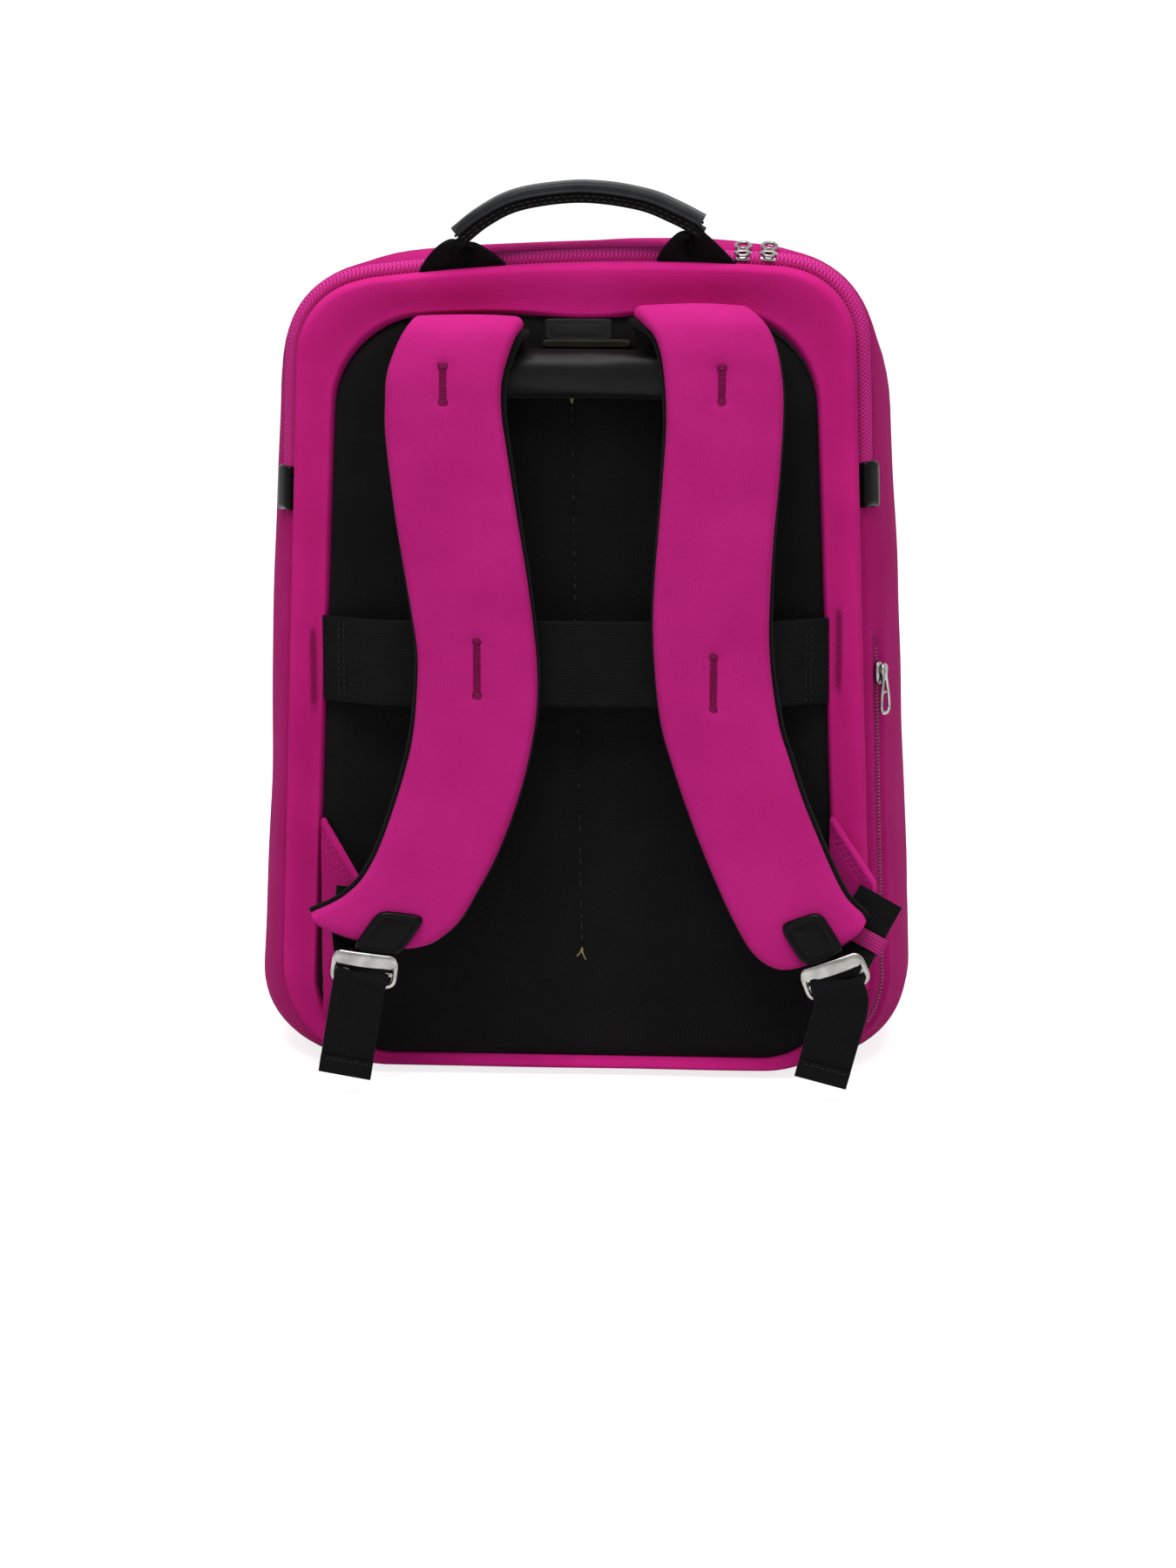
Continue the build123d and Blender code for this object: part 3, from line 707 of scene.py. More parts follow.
class Graph(Nodes):
    """The nodes of one material round its Principled shader, and the patterns that the finishes share."""

    def __init__(self, name: str) -> None:
        """Makes a material of that name.

        Args:
            name: the material's name.
        """
        self.material = bpy.data.materials.new(name)
        self.material.use_nodes = True
        super().__init__(self.material.node_tree)
        self.shader = next(n for n in self.tree.nodes if n.type == "BSDF_PRINCIPLED")

    def surface(self, pitch_u: float, pitch_v: float) -> tuple[Socket, Socket]:
        """The piece's own UV in repeats of a pattern whose pitches are in millimetres.

        Args:
            pitch_u: the pitch along the first direction of the UV.
            pitch_v: the pitch along the second.

        Returns:
            Both coordinates.
        """
        uv = self.add("UVMap", {}, uv_map="surface")
        scaled = self.add("Mapping", {"Vector": uv, "Scale": (1 / (pitch_u * MM), 1 / (pitch_v * MM), 1)})
        return self.add("SeparateXYZ", {0: scaled}, 0), self.add("SeparateXYZ", {0: scaled}, 1)

    def solid(self, size: float, stretch: tuple = (1, 1, 1)) -> Socket:
        """Object coordinates in repeats of size millimetres, times the stretch."""
        scale = tuple(1 / (size * MM * s) for s in stretch)
        return self.add("Mapping", {"Vector": self.add("TexCoord", {}, "Object"), "Scale": scale})

    def ribs(self, run: Socket) -> Socket:
        """Round ribs, one for each whole number of the run: |sin(pi run)|."""
        wave = self.add("Math", (self.add("Math", (run, math.pi), operation="MULTIPLY"),), operation="SINE")
        return self.add("Math", (wave,), operation="ABSOLUTE")

    def mixed(self, first: Socket, share: float, second: Socket, rest: float) -> Socket:
        """Two patterns in one: first times share, plus second times rest."""
        return self.add("Math", (self.add("Math", (first, share), operation="MULTIPLY"),
                                 self.add("Math", (second, rest), operation="MULTIPLY")), operation="ADD")

    def shade(self, driver: Socket, low: str, high: str, start: float = 0.3, stop: float = 0.7) -> Socket:
        """A colour that runs from low to high as the driver goes from start to stop."""
        part = self.add("MapRange", {0: driver, 1: start, 2: stop})
        return self.add("Mix", {0: part, 6: linear(low), 7: linear(high)}, 2, data_type="RGBA")

    def done(self, color: Socket | tuple, normal: Socket | None = None, **plain: float) -> Material:
        """Feeds the shader.

        Args:
            color: the base colour.
            normal: the bumped normal.
            **plain: the shader's other inputs, in lower case with underscores.

        Returns:
            The material.
        """
        inputs = {key.replace("_", " ").title().replace("Ior", "IOR"): value for key, value in plain.items()}
        if normal is not None:
            inputs["Normal"] = normal
        self.feed(self.shader, {"Base Color": color} | inputs)
        return self.material


@dataclass(frozen=True)
class FoamKnit:
    """Dense polyester jersey bonded to foam: a matte, even face with tiny wales and a faint bloom at grazing angles.

    Real wales stand about 0.5 mm apart; they are drawn at 1.1 mm so that they show.
    """
    name: str = "foam_backed_jersey"
    low: str = "#A31763"
    high: str = "#B92078"
    wale: float = 1.1
    course: float = 0.9

    def make(self) -> Material:
        """Height is a row of loops: |sin(pi u)| leaned by the distance from the wale's middle, times |sin(pi v)|.

        Returns:
            The material.
        """
        g = Graph(self.name)
        u, v = g.surface(self.course, self.wale)
        nap, dents, patches = (g.add("TexNoise", {"Vector": g.solid(size), "Scale": 1.0}, "Fac")
                               for size in (0.9, 26.0, 40.0))
        middle = g.add("Math", (g.add("Math", (v,), operation="FRACT"), 0.5), operation="SUBTRACT")
        lean = g.add("Math", (g.add("Math", (middle,), operation="ABSOLUTE"), 0.9), operation="MULTIPLY")
        rows = g.ribs(g.add("Math", (u, lean), operation="ADD"))
        loops = g.add("Math", (rows, g.ribs(v)), operation="MULTIPLY")
        height = g.mixed(loops, 0.7, nap, 0.5)
        dips = g.add("Bump", {"Height": dents, "Distance": 0.9 * MM, "Strength": 0.35})
        normal = g.add("Bump", {"Height": height, "Distance": 0.16 * MM, "Strength": 0.55, "Normal": dips})
        tone = g.mixed(patches, 0.6, height, 0.34)
        return g.done(g.shade(tone, self.low, self.high, 0.3, 0.75), normal,
                      roughness=0.85, sheen_weight=0.03, sheen_roughness=0.45,
                      sheen_tint=linear("#F07CC0"), specular_ior_level=0.05)


@dataclass(frozen=True)
class SpacerKnit:
    """Black warp-knit spacer fabric: matte, with tiny eyelets that break up the light."""
    name: str = "spacer_knit"
    low: str = "#080808"
    high: str = "#191718"
    pitch: float = 1.7

    def make(self) -> Material:
        """Height is two crossed waves, sin(2 pi u) sin(2 pi v), with the eyelets where it is low.

        Returns:
            The material.
        """
        g = Graph(self.name)
        fuzz, patches = (g.add("TexNoise", {"Vector": g.solid(size), "Scale": 1.0}, "Fac") for size in (0.8, 30.0))
        turns = (g.add("Math", (run, 2 * math.pi), operation="MULTIPLY") for run in g.surface(self.pitch, self.pitch))
        holes = g.add("Math", [g.add("Math", (turn,), operation="SINE") for turn in turns], operation="MULTIPLY")
        height = g.mixed(holes, 0.5, fuzz, 0.6)
        tone = g.mixed(height, 0.35, patches, 0.5)
        normal = g.add("Bump", {"Height": height, "Distance": 0.25 * MM, "Strength": 0.6})
        return g.done(g.shade(tone, self.low, self.high, 0.15, 0.75), normal,
                      roughness=0.9, sheen_weight=0.03, sheen_roughness=0.5, specular_ior_level=0.08)


@dataclass(frozen=True)
class Satin:
    """Black satin weave over wadding: long floats give a soft, stretched highlight and fine cross lines."""
    name: str = "satin_weave"
    low: str = "#070707"
    high: str = "#131212"
    thread: float = 0.8

    def make(self) -> Material:
        """Height is fine threads round the roll, |sin(pi v)|, with a loose noise along them.

        Returns:
            The material.
        """
        g = Graph(self.name)
        slubs, streaks = (g.add("TexNoise", {"Vector": vector, "Scale": 1.0, "Detail": 3.0}, "Fac")
                          for vector in (g.solid(3.0, (5, 1, 1)), g.solid(14.0, (4, 1, 1))))
        _, around = g.surface(6.0, self.thread)
        height = g.mixed(g.ribs(around), 0.4, slubs, 0.8)
        normal = g.add("Bump", {"Height": height, "Distance": 0.12 * MM, "Strength": 0.45})
        return g.done(g.shade(streaks, self.low, self.high), normal,
                      roughness=0.38, sheen_weight=0.02, specular_ior_level=0.12, anisotropic=0.4)


@dataclass(frozen=True)
class Webbing:
    """Woven polyester webbing: warp ribs along it, broken by the weft; real ribs are 0.9 mm apart, drawn at 1.3."""
    name: str = "polyester_webbing"
    low: str = "#070707"
    high: str = "#171718"
    rib: float = 1.3
    pick: float = 1.5

    def make(self) -> Material:
        """Height is ribs |sin(pi v)| whose tops rise and fall along u, half a pick apart from rib to rib.

        Returns:
            The material.
        """
        g = Graph(self.name)
        u, v = g.surface(self.pick, self.rib)
        stagger = g.add("Math", (g.add("Math", (v,), operation="FLOOR"), 0.5), operation="MULTIPLY")
        tops = g.ribs(g.add("Math", (u, stagger), operation="ADD"))
        swell = g.add("Math", (g.add("Math", (tops, 0.55), operation="MULTIPLY"), 0.45), operation="ADD")
        height = g.add("Math", (g.ribs(v), swell), operation="MULTIPLY")
        dust = g.add("TexNoise", {"Vector": g.solid(9.0), "Scale": 1.0, "Detail": 3.0}, "Fac")
        tone = g.mixed(height, 0.6, dust, 0.4)
        normal = g.add("Bump", {"Height": height, "Distance": 0.35 * MM, "Strength": 0.8})
        return g.done(g.shade(tone, self.low, self.high, 0.2, 0.85), normal,
                      roughness=0.6, sheen_weight=0.03, sheen_roughness=0.4, specular_ior_level=0.04)


@dataclass(frozen=True)
class Herringbone:
    """Zip tape or elastic: slanted ribs that turn back at each wale; real wales are 1 mm wide, drawn at 3.2."""
    name: str = "herringbone_tape"
    low: str = "#9A1660"
    high: str = "#D83C97"
    wale: float = 3.2
    rib: float = 1.9

    def make(self) -> Material:
        """Height is sin(2 pi (u + |2 fract(v) - 1|)), ribs whose slant turns back twice in each wale.

        Returns:
            The material.
        """
        g = Graph(self.name)
        u, v = g.surface(self.rib, self.wale)
        twice = g.add("Math", (g.add("Math", (v,), operation="FRACT"), 2.0), operation="MULTIPLY")
        zigzag = g.add("Math", (g.add("Math", (twice, 1.0), operation="SUBTRACT"),), operation="ABSOLUTE")
        turns = g.add("Math", (g.add("Math", (u, zigzag), operation="ADD"), 2 * math.pi), operation="MULTIPLY")
        half = g.add("Math", (g.add("Math", (turns,), operation="SINE"), 0.5), operation="MULTIPLY")
        height = g.add("Math", (half, 0.5), operation="ADD")
        normal = g.add("Bump", {"Height": height, "Distance": 0.2 * MM, "Strength": 0.6})
        return g.done(g.shade(height, self.low, self.high, 0.1, 0.9), normal, roughness=0.7, specular_ior_level=0.05)


@dataclass(frozen=True)
class Leather:
    """Finished leather: a pebbled grain of small cells under a smooth coat, lighter along its sharp edges."""
    name: str
    low: str
    high: str
    grain: float = 1.1
    depth: float = 0.12
    roughness: float = 0.38
    coat: float = 0.25

    def make(self) -> Material:
        """Height is the distance to the edge of Voronoi cells of the grain's size, with a fine noise on top.

        Returns:
            The material.
        """
        g = Graph(self.name)
        cells = g.add("TexVoronoi", {"Vector": g.solid(self.grain), "Scale": 1.0, "Randomness": 0.9}, "Distance",
                      feature="DISTANCE_TO_EDGE")
        pebble = g.add("MapRange", {0: cells, 1: 0.0, 2: 0.35})
        pores, patches = (g.add("TexNoise", {"Vector": g.solid(size), "Scale": 1.0, "Detail": detail}, "Fac")
                          for size, detail in ((0.5, 3.0), (12.0, 4.0)))
        height = g.add("Math", (pebble, g.add("Math", (pores, 0.4), operation="MULTIPLY")), operation="ADD")
        sharp_edges = g.add("MapRange", {0: g.add("NewGeometry", {}, "Pointiness"), 1: 0.5, 2: 0.56})
        tone = g.mixed(patches, 0.8, sharp_edges, 0.5)
        normal = g.add("Bump", {"Height": height, "Distance": self.depth * MM, "Strength": 0.5})
        return g.done(g.shade(tone, self.low, self.high, 0.25, 0.95), normal, roughness=self.roughness,
                      coat_weight=self.coat, coat_roughness=0.12, specular_ior_level=0.05)


@dataclass(frozen=True)
class PlatedMetal:
    """Zinc casting plated with bright nickel: mirror-like, with faint polishing waves, a few dull rubs, and a colour
    mottled by a painted reflection.
    """
    name: str = "bright_nickel_plate"
    low: str = "#7A7A78"
    high: str = "#A6A5A1"

    def make(self) -> Material:
        """Roughness wanders with a noise of a few millimetres, and a shallow wave bends the reflections; a larger noise
        mottles the colour as a painted reflection.

        Returns:
            The material.
        """
        g = Graph(self.name)
        # cloud mottles the base colour lighter and darker: a painted reflection.
        rub, cloud, ripple = (g.add("TexNoise", {"Vector": g.solid(size), "Scale": 1.0, "Detail": detail}, "Fac")
                              for size, detail in ((2.5, 4.0), (9.0, 2.0), (3.5, 2.0)))
        dull = g.add("MapRange", {0: rub, 1: 0.35, 2: 0.75, 3: 0.1, 4: 0.26})
        normal = g.add("Bump", {"Height": ripple, "Distance": 0.12 * MM, "Strength": 0.35})
        return g.done(g.shade(cloud, self.low, self.high), normal, metallic=1.0, roughness=dull)


@dataclass(frozen=True)
class Thread:
    """Bonded nylon sewing thread: a round twist with a slight shine."""
    name: str
    color: str
    dark: str

    def make(self) -> Material:
        """A fine noise stands for the plies.

        Returns:
            The material.
        """
        g = Graph(self.name)
        plies = g.add("TexNoise", {"Vector": g.solid(0.35), "Scale": 1.0}, "Fac")
        normal = g.add("Bump", {"Height": plies, "Distance": 0.08 * MM, "Strength": 0.5})
        return g.done(g.shade(plies, self.dark, self.color), normal, roughness=0.6, specular_ior_level=0.08)


@dataclass(frozen=True)
class PlainWeave:
    """Plain-woven lining or patch cloth: crossed threads, smooth and slightly shiny."""
    name: str
    low: str
    high: str
    thread: float = 0.9
    roughness: float = 0.55

    def make(self) -> Material:
        """Height is the larger of two crossed thread waves, |sin(pi u)| and |sin(pi v)|.

        Returns:
            The material.
        """
        g = Graph(self.name)
        threads = [g.ribs(run) for run in g.surface(self.thread, self.thread)]
        height = g.add("Math", threads, operation="MAXIMUM")
        patches = g.add("TexNoise", {"Vector": g.solid(18.0), "Scale": 1.0, "Detail": 3.0}, "Fac")
        tone = g.mixed(height, 0.4, patches, 0.5)
        normal = g.add("Bump", {"Height": height, "Distance": 0.12 * MM, "Strength": 0.5})
        return g.done(g.shade(tone, self.low, self.high, 0.3, 0.9), normal,
                      roughness=self.roughness, sheen_weight=0.03, specular_ior_level=0.15)


@dataclass(frozen=True)
class MouldedPlastic:
    """Moulded nylon or stiffener sheet: even colour with a fine spark-eroded grain."""
    name: str
    low: str
    high: str
    roughness: float = 0.5

    def make(self) -> Material:
        """A noise of under a millimetre is the grain.

        Returns:
            The material.
        """
        g = Graph(self.name)
        cloud, grain = (g.add("TexNoise", {"Vector": g.solid(size), "Scale": 1.0, "Detail": detail}, "Fac")
                        for size, detail in ((8.0, 3.0), (0.6, 2.0)))
        normal = g.add("Bump", {"Height": grain, "Distance": 0.08 * MM, "Strength": 0.5})
        return g.done(g.shade(cloud, self.low, self.high), normal, roughness=self.roughness)


# ------------------------------------------------------------------ putting pieces on the frame
class Slot(Enum):
    """The record's material slots, which are passed along with each piece."""
    SHELL = "shell_cloth"
    PAD = "pad_mesh"
    SATIN = "satin"
    LINING = "lining"
    WEBBING = "webbing"
    ELASTIC = "elastic"
    TAPE = "tape"
    COIL = "coil"
    LEATHER = "leather"
    GRIP = "grip_leather"
    PATCH = "patch"
    METAL = "metal"


class Side(Enum):
    """Which side of the pack a piece is on, as the sign of its x."""
    LEFT = -1
    RIGHT = 1

    @property
    def word(self) -> str:
        """The side's name in lower case."""
        return self.name.lower()


@dataclass(frozen=True)
class Bend:
    """A joint that a piece crosses: its two bodies, and the points where the piece starts and ends its turn."""
    first: str
    second: str
    start: tuple
    end: tuple


MOUTH = Bend("shell", "mouth", (0, 0, 277), (0, 0, 345))


def made_once(recipe: object) -> Material:
    """A dataclass field that holds the recipe's material."""
    return field(default_factory=recipe.make)


@dataclass
class Finishes:
    """Every finish of the pack, made once."""
    shell: Material = made_once(FoamKnit())
    # Painted light: the border's face gets a lighter copy of the shell's jersey, standing in for the light that falls
    # on it.
    frame: Material = made_once(FoamKnit("border_jersey_painted_light", "#BA1B72", "#CE2583"))
    # Painted light: the straps get a lighter copy of the shell's jersey, standing in for the light that falls on them.
    strap: Material = made_once(FoamKnit("strap_jersey_painted_light", "#B21D72", "#C42783"))
    knit: Material = made_once(SpacerKnit())
    satin: Material = made_once(Satin())
    webbing: Material = made_once(Webbing())
    tape: Material = made_once(Herringbone())
    # Painted shade: a darker copy of the zip tape for the side zip, which lies in the shade of its recess.
    tape_in_painted_shade: Material = made_once(Herringbone("side_tape_painted_shade", "#74104A", "#B3246F"))
    elastic: Material = made_once(Webbing("ribbed_elastic", "#8E1A58", "#C43687", 1.5, 1.2))
    gloss: Material = made_once(Leather("patent_leather", "#050505", "#0B0A0A", 1.4, 0.05, 0.24, 0.04))
    grip: Material = made_once(Leather("grained_leather", "#1C1D1E", "#303233", 0.9, 0.16, 0.42, 0.08))
    ledge: Material = made_once(Leather("olive_leather", "#14130F", "#2A2922", 0.9, 0.12, 0.5, 0.02))
    metal: Material = made_once(PlatedMetal())
    thread_black: Material = made_once(Thread("black_thread", "#37372F", "#141412"))
    thread_pink: Material = made_once(Thread("magenta_thread", "#C23585", "#7E1750"))
    thread_deep: Material = made_once(Thread("deep_magenta_thread", "#9C1A5E", "#4E0A30"))
    thread_olive: Material = made_once(Thread("olive_thread", "#A29C6C", "#5F5B3C"))
    lining: Material = made_once(PlainWeave("lining_cloth", "#2F3036", "#4A4B52"))
    patch: Material = made_once(PlainWeave("damask_patch", "#0A0A0C", "#1A1A1C", 0.7, 0.5))
    coil: Material = made_once(MouldedPlastic("nylon_coil", "#7E1750", "#A82A72", 0.35))
    board: Material = made_once(MouldedPlastic("stiffener_sheet", "#17171A", "#232326"))


def settle(piece: Piece, finish: Material, slot: Slot, body: str | Bend, *stands_for: str,
           fill: float | None = None) -> None:
    """Gives a piece its finish and hangs it on its body, or bakes its place into its mesh where it crosses a joint, and
    reports it.

    Args:
        piece: the new piece.
        finish: its material.
        slot: the record's slot; not used.
        body: the body that it rides on, or the joint that it bends over.
        *stands_for: the CAD nodes that it replaces.
        fill: how tight it is stuffed, for a padded piece; not used.
    """
    piece.data.materials.clear()
    piece.data.materials.append(finish)
    if isinstance(body, Bend):
        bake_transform(piece)
    else:
        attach(piece, body)
    if stands_for:
        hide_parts(*stands_for)
    log.info("%s on %s, %d faces", piece.name, body, len(piece.data.polygons))


def joint(name: str) -> tuple[Array, Array]:
    """A joint's place in millimetres and its axis, from the frame."""
    found = next(j for j in frame["joints"] if j["name"] == name)
    return np.array(found["pos_m"]) / MM if "pos_m" in found else np.zeros(3), np.array(found["axis"])


def waves(p: Array, size: float, seed: int = 1) -> Array:
    """Soft unevenness: a sum of six sines of mixed directions and phases, between about -1 and 1.

    Args:
        p: points (..., 3).
        size: wavelength in millimetres.
        seed: which set of directions.

    Returns:
        A value per point.
    """
    rng = np.random.default_rng(seed)
    ways = unit(rng.normal(size=(6, 3))) * (2 * math.pi / size) * rng.uniform(0.6, 1.5, (6, 1))
    return np.sin(p @ ways.T + rng.uniform(0, 2 * math.pi, 6)).sum(-1) / 3.5


def soft_bar(width: Array | float, height: float, radius: float, crown: float = 0.0, flat: int = 10,
             turn: int = 5) -> Array:
    """Rounded rectangle sections, one per width, as across and out.

    Four quarter arcs are joined by flats, and the upper face rises by crown at its middle: 1 - (2x / width)^2.

    Args:
        width: one width, or one per station.
        height: the section's height.
        radius: the corners' radius, held to half the width.
        crown: rise of the upper face.
        flat: points along each long flat.
        turn: points round each corner.

    Returns:
        Sections (n, m, 2).
    """
    width = np.atleast_1d(np.asarray(width, float))[:, None]
    r = np.minimum(radius, np.minimum(width / 2 - 0.05, height / 2 - 0.01))
    a = np.linspace(0, math.pi / 2, turn)[None]
    t = np.linspace(1, -1, flat + 2)[None, 1:-1]
    half, rise = width / 2 - r, height / 2 - r
    corner = np.stack([half + r * np.cos(a), rise + r * np.sin(a)], axis=-1)
    top = np.stack([half * t, height / 2 + 0 * t + 0 * half], axis=-1)
    quarter = [corner, top, corner[:, ::-1] * [-1, 1], corner * [-1, -1], -top, corner[:, ::-1] * [1, -1]]
    section = np.concatenate(quarter, axis=1)
    upper = section[..., 1] > 0
    section[..., 1] += np.where(upper, crown * (1 - (2 * section[..., 0] / width) ** 2), 0)
    return section


def band(name: str, line: Array, out: Array, width: Array | float, thick: float,
         radius: float | None = None) -> Piece:
    """Flat webbing or a bar: a rounded rectangle carried along a line, closed at both ends."""
    section = soft_bar(width, thick, thick * 0.45 if radius is None else radius)
    return closed_form(name, carried(line, out, section))


def plaque(name: str, centre: tuple, along: Array, across: Array, size: tuple, steps: list, power: float = 4.0,
           skew: float = 0.0, count: int = 56) -> Piece:
    """A low shaped plate: superellipse rings that draw in by steps, closed at the first and the last.

    Args:
        name: the piece's name.
        centre: the middle of its seat.
        along: the way of its length.
        across: the way of its width; it faces along x across.
        size: length and width.
        steps: (inset, height) of each ring, from the underside's edge to the middle of the face.
        power: squareness of the outline.
        skew: how far the outline leans along for each millimetre across.
        count: points round it.

    Returns:
        The object.
    """
    along, across = unit(along), unit(across)
    out = np.cross(along, across)
    t = np.linspace(0, 2 * math.pi, count, endpoint=False)
    steps = np.asarray(steps, float)
    reach = [np.maximum(s / 2 - steps[:, :1], 0.02) for s in size]
    x = squared_off(np.cos(t), 2 / power) * reach[0]
    y = squared_off(np.sin(t), 2 / power) * reach[1]
    x = x + y * skew
    p = (np.asarray(centre, float) + x[..., None] * along + y[..., None] * across
         + (steps[:, 1:] + 0 * x)[..., None] * out)
    made = closed_form(name, p, flip=True)
    return with_plane_uv(made, along, across)


def with_plane_uv(piece: Piece, along: Array, across: Array) -> Piece:
    """Lays the piece's UV flat, along and across two directions, in metres."""
    lay_uv(piece.data, points_of(piece.data) @ np.stack([unit(along), unit(across)], axis=1))
    return piece


@dataclass
class Assembly:
    """A sub-assembly of the pack: its sizes are fields, and its stages are the methods that make its pieces."""
    finishes: Finishes
    stages: ClassVar[tuple] = ()

    def build(self) -> None:
        """Makes the pieces in order."""
        for stage in self.stages:
            stage(self)


# ------------------------------------------------------------------ body
@dataclass
class BodyShell(Assembly):
    """The body's cloth: gusset, front panel, base panel and lining; all but the base panel cross the mouth's joint."""
    wall: float = 3.0
    lining: float = 1.0
    seam_dip: float = 1.6  # how far the cloth turns in at a seam
    front_middle: tuple = (0.0, 0.0, 187.0)
    base: tuple = (100.0, -50.0, 48.0)  # half width, rear edge, front edge

    def rear_edge(self, columns: Array) -> Array:
        """Rear edge of the gusset: on the back seam below the mouth, and in front of the zip above it."""
        return REAR_Y + 0.1 + (MAIN_ZIP_FRONT - REAR_Y) * above_split(columns)

    def relief(self, columns: Array, y: Array) -> Array:
        """Depth below the face: the seams turn in, the side zip and the base panel are let in, and it sags softly.

        Args:
            columns: places round the outline (n,).
            y: a grid (n, m).

        Returns:
            Depths (n, m).
        """
        p = on_body(columns, y)
        x, z = p[..., 0], p[..., 2]
        rear = self.rear_edge(columns)[:, None]
        by_zip = 1 - 0.75 * smooth((z - 282) / 8)  # the seam is shallower where it meets the main zip
        dip = (self.seam_dip * (1 - smooth((y - rear) / 2.6)) * by_zip
               + self.seam_dip * (1 - smooth((PANEL_Y - y) / 2.4)))
        near = np.exp(-(((y - SIDE_ZIP_Y) / 4.6) ** 6))
        zip_room = near * (x > 100) * smooth((z - SIDE_ZIP_LOW + 5) / 5) * smooth((SIDE_ZIP_HIGH + 5 - z) / 5)
        lips = np.exp(-(((np.abs(y - SIDE_ZIP_Y) - 6.2) / 1.4) ** 2)) * (x > 100) * (z < SIDE_ZIP_HIGH) * (z > 18)
        half, low, high = self.base
        base = (z < 2) * smooth((half + 1 - np.abs(x)) / 2) * smooth((y - low + 1) / 2) * smooth((high + 1 - y) / 2)
        calm = smooth((y - rear) / 22) * smooth((PANEL_Y - y) / 16)
        soft = 0.9 * waves(p, 120) + 0.35 * waves(p, 42, 5)
        return dip + 2.3 * zip_room - 0.5 * lips + 1.3 * base - calm * np.where(z < 3, 0.0, soft)

    def gusset(self) -> None:
        """Sides, top and bottom, from the back seam to the front seam; a strip with a rolled rear edge."""
        rear = self.rear_edge(ALL_ROUND)[:, None]
        near = np.concatenate([np.linspace(0, 17, 30), np.linspace(19, 118, 30)]) / 126.0
        share = np.append(near, [0.965, 0.985, 1.0])[None]
        y = rear + (PANEL_Y - rear) * share
        outer = self.relief(ALL_ROUND, y)
        inner_y = rear + 0.4 + (PANEL_Y - rear - 0.4) * np.linspace(1, 0, 24)[None]
        inner = np.broadcast_to(self.wall - 0.1, inner_y.shape)
        all_y, depth = np.concatenate([inner_y, y], axis=1), np.concatenate([inner, outer], axis=1)
        p = on_body(ALL_ROUND, all_y, depth)
        piece = grid_object("gusset_cloth", p, loop_u=True, loop_v=True, flip=True)
        settle(piece, self.finishes.shell, Slot.SHELL, MOUTH, "gusset_lower", "gusset_top", fill=0.3)

    def crown(self, x: Array, z: Array) -> Array:
        """How far the front stands out: a pocket's fullness below the zip, a little above it, none beside it.

        Args:
            x: the points' x.
            z: the points' z.

        Returns:
            A rise per point.
        """
        inside = inside_depth(x, z, BODY.sections[-1][1:])
        full = smooth(inside / 45) * smooth((FRONT_ZIP_Z - 6 - z) / 40) * 5.0
        upper = smooth(inside / 30) * smooth((z - FRONT_ZIP_Z - 7) / 26) * 2.4
        wide = np.where(np.abs(x) > FRONT_ZIP_HALF + 4, 0.4, 1.0)
        near = np.exp(-(((z - FRONT_ZIP_Z) / 4.6) ** 6)) * (np.abs(x) < FRONT_ZIP_HALF + 3) * smooth(inside / 4)
        return (full + upper) * wide - 2.0 * near

    def over_front(self, side: Array, rings: int, back: float = 0.0) -> Array:
        """Runs a skin on from its front edge to the front's middle.

        Args:
            side: the skin up to the edge (AROUND, n, 3).
            rings: how many rings lie between the edge and the middle.
            back: how far behind the edge they lie.

        Returns:
            Points (AROUND, n + rings, 3).
        """
        edge, middle = side[:, -1:], np.array(self.front_middle)
        face = middle + (edge - middle) * np.linspace(1, 0, rings + 1)[None, 1:, None]
        face[..., 1] = edge[..., 1] + back
        return np.concatenate([side, face], axis=1)

    def front(self) -> None:
        """Front panel: an outer skin and an inner one that meet at the panel seam."""
        runs = np.linspace(PANEL_Y, FRONT_Y, 26)
        dip = self.seam_dip * (1 - smooth((runs - PANEL_Y) / 2.4))
        p = self.over_front(on_body(ALL_ROUND, runs[None], dip[None]), 44)
        p[..., 1] += np.where(p[..., 1] > FRONT_Y - 0.6, self.crown(p[..., 0], p[..., 2]), 0)
        p[..., 1] += 0.5 * waves(p, 80, 3) * smooth((p[..., 1] - 60) / 20) * (p[..., 1] > FRONT_Y - 30)
        inner = self.over_front(on_body(ALL_ROUND, [PANEL_Y, FRONT_Y - 4], self.wall), 4)[:, ::-1]
        inner[:, :-2, 1] = FRONT_Y - self.wall - 2.2  # the inner face lies flat behind the front
        piece = grid_object("front_panel_cloth", np.concatenate([inner, p], axis=1), loop_u=True, flip=True)
        # The UV map is laid flat over the face, and goes on outward where the cloth turns back to its seam.
        spread = p + SKIN_OUT[-40, :, None, :] * (FRONT_Y - p[..., 1:2])
        lay_uv(piece.data, np.concatenate([inner, spread], axis=1).reshape(-1, 3)[:, [2, 0]] * MM)
        settle(welded(piece), self.finishes.shell, Slot.SHELL, MOUTH, "front_panel_lower", "front_panel_top",
               fill=0.35)

    def lining_skin(self) -> None:
        """Lining: one thin closed skin from the back board to the front's middle and back."""
        rear = (REAR_Y + 2.4 + 8.4 * above_split(ALL_ROUND))[:, None]
        y = rear + (FRONT_Y - 6.6 - rear) * np.linspace(0, 1, 40)[None]
        wrinkle = np.maximum(0.5 * waves(on_body(ALL_ROUND, y), 55, 9) * smooth((y - rear) / 20), 0)
        outer = self.over_front(on_body(ALL_ROUND, y, self.wall + 0.25 + wrinkle), 11, 0.6)
        inner = self.over_front(on_body(ALL_ROUND, y, self.wall + self.lining + wrinkle), 11)
        piece = welded(grid_object("body_lining", np.concatenate([outer[:, ::-1], inner], axis=1), loop_u=True))
        settle(piece, self.finishes.lining, Slot.LINING, MOUTH, "lining_lower", "lining_top")

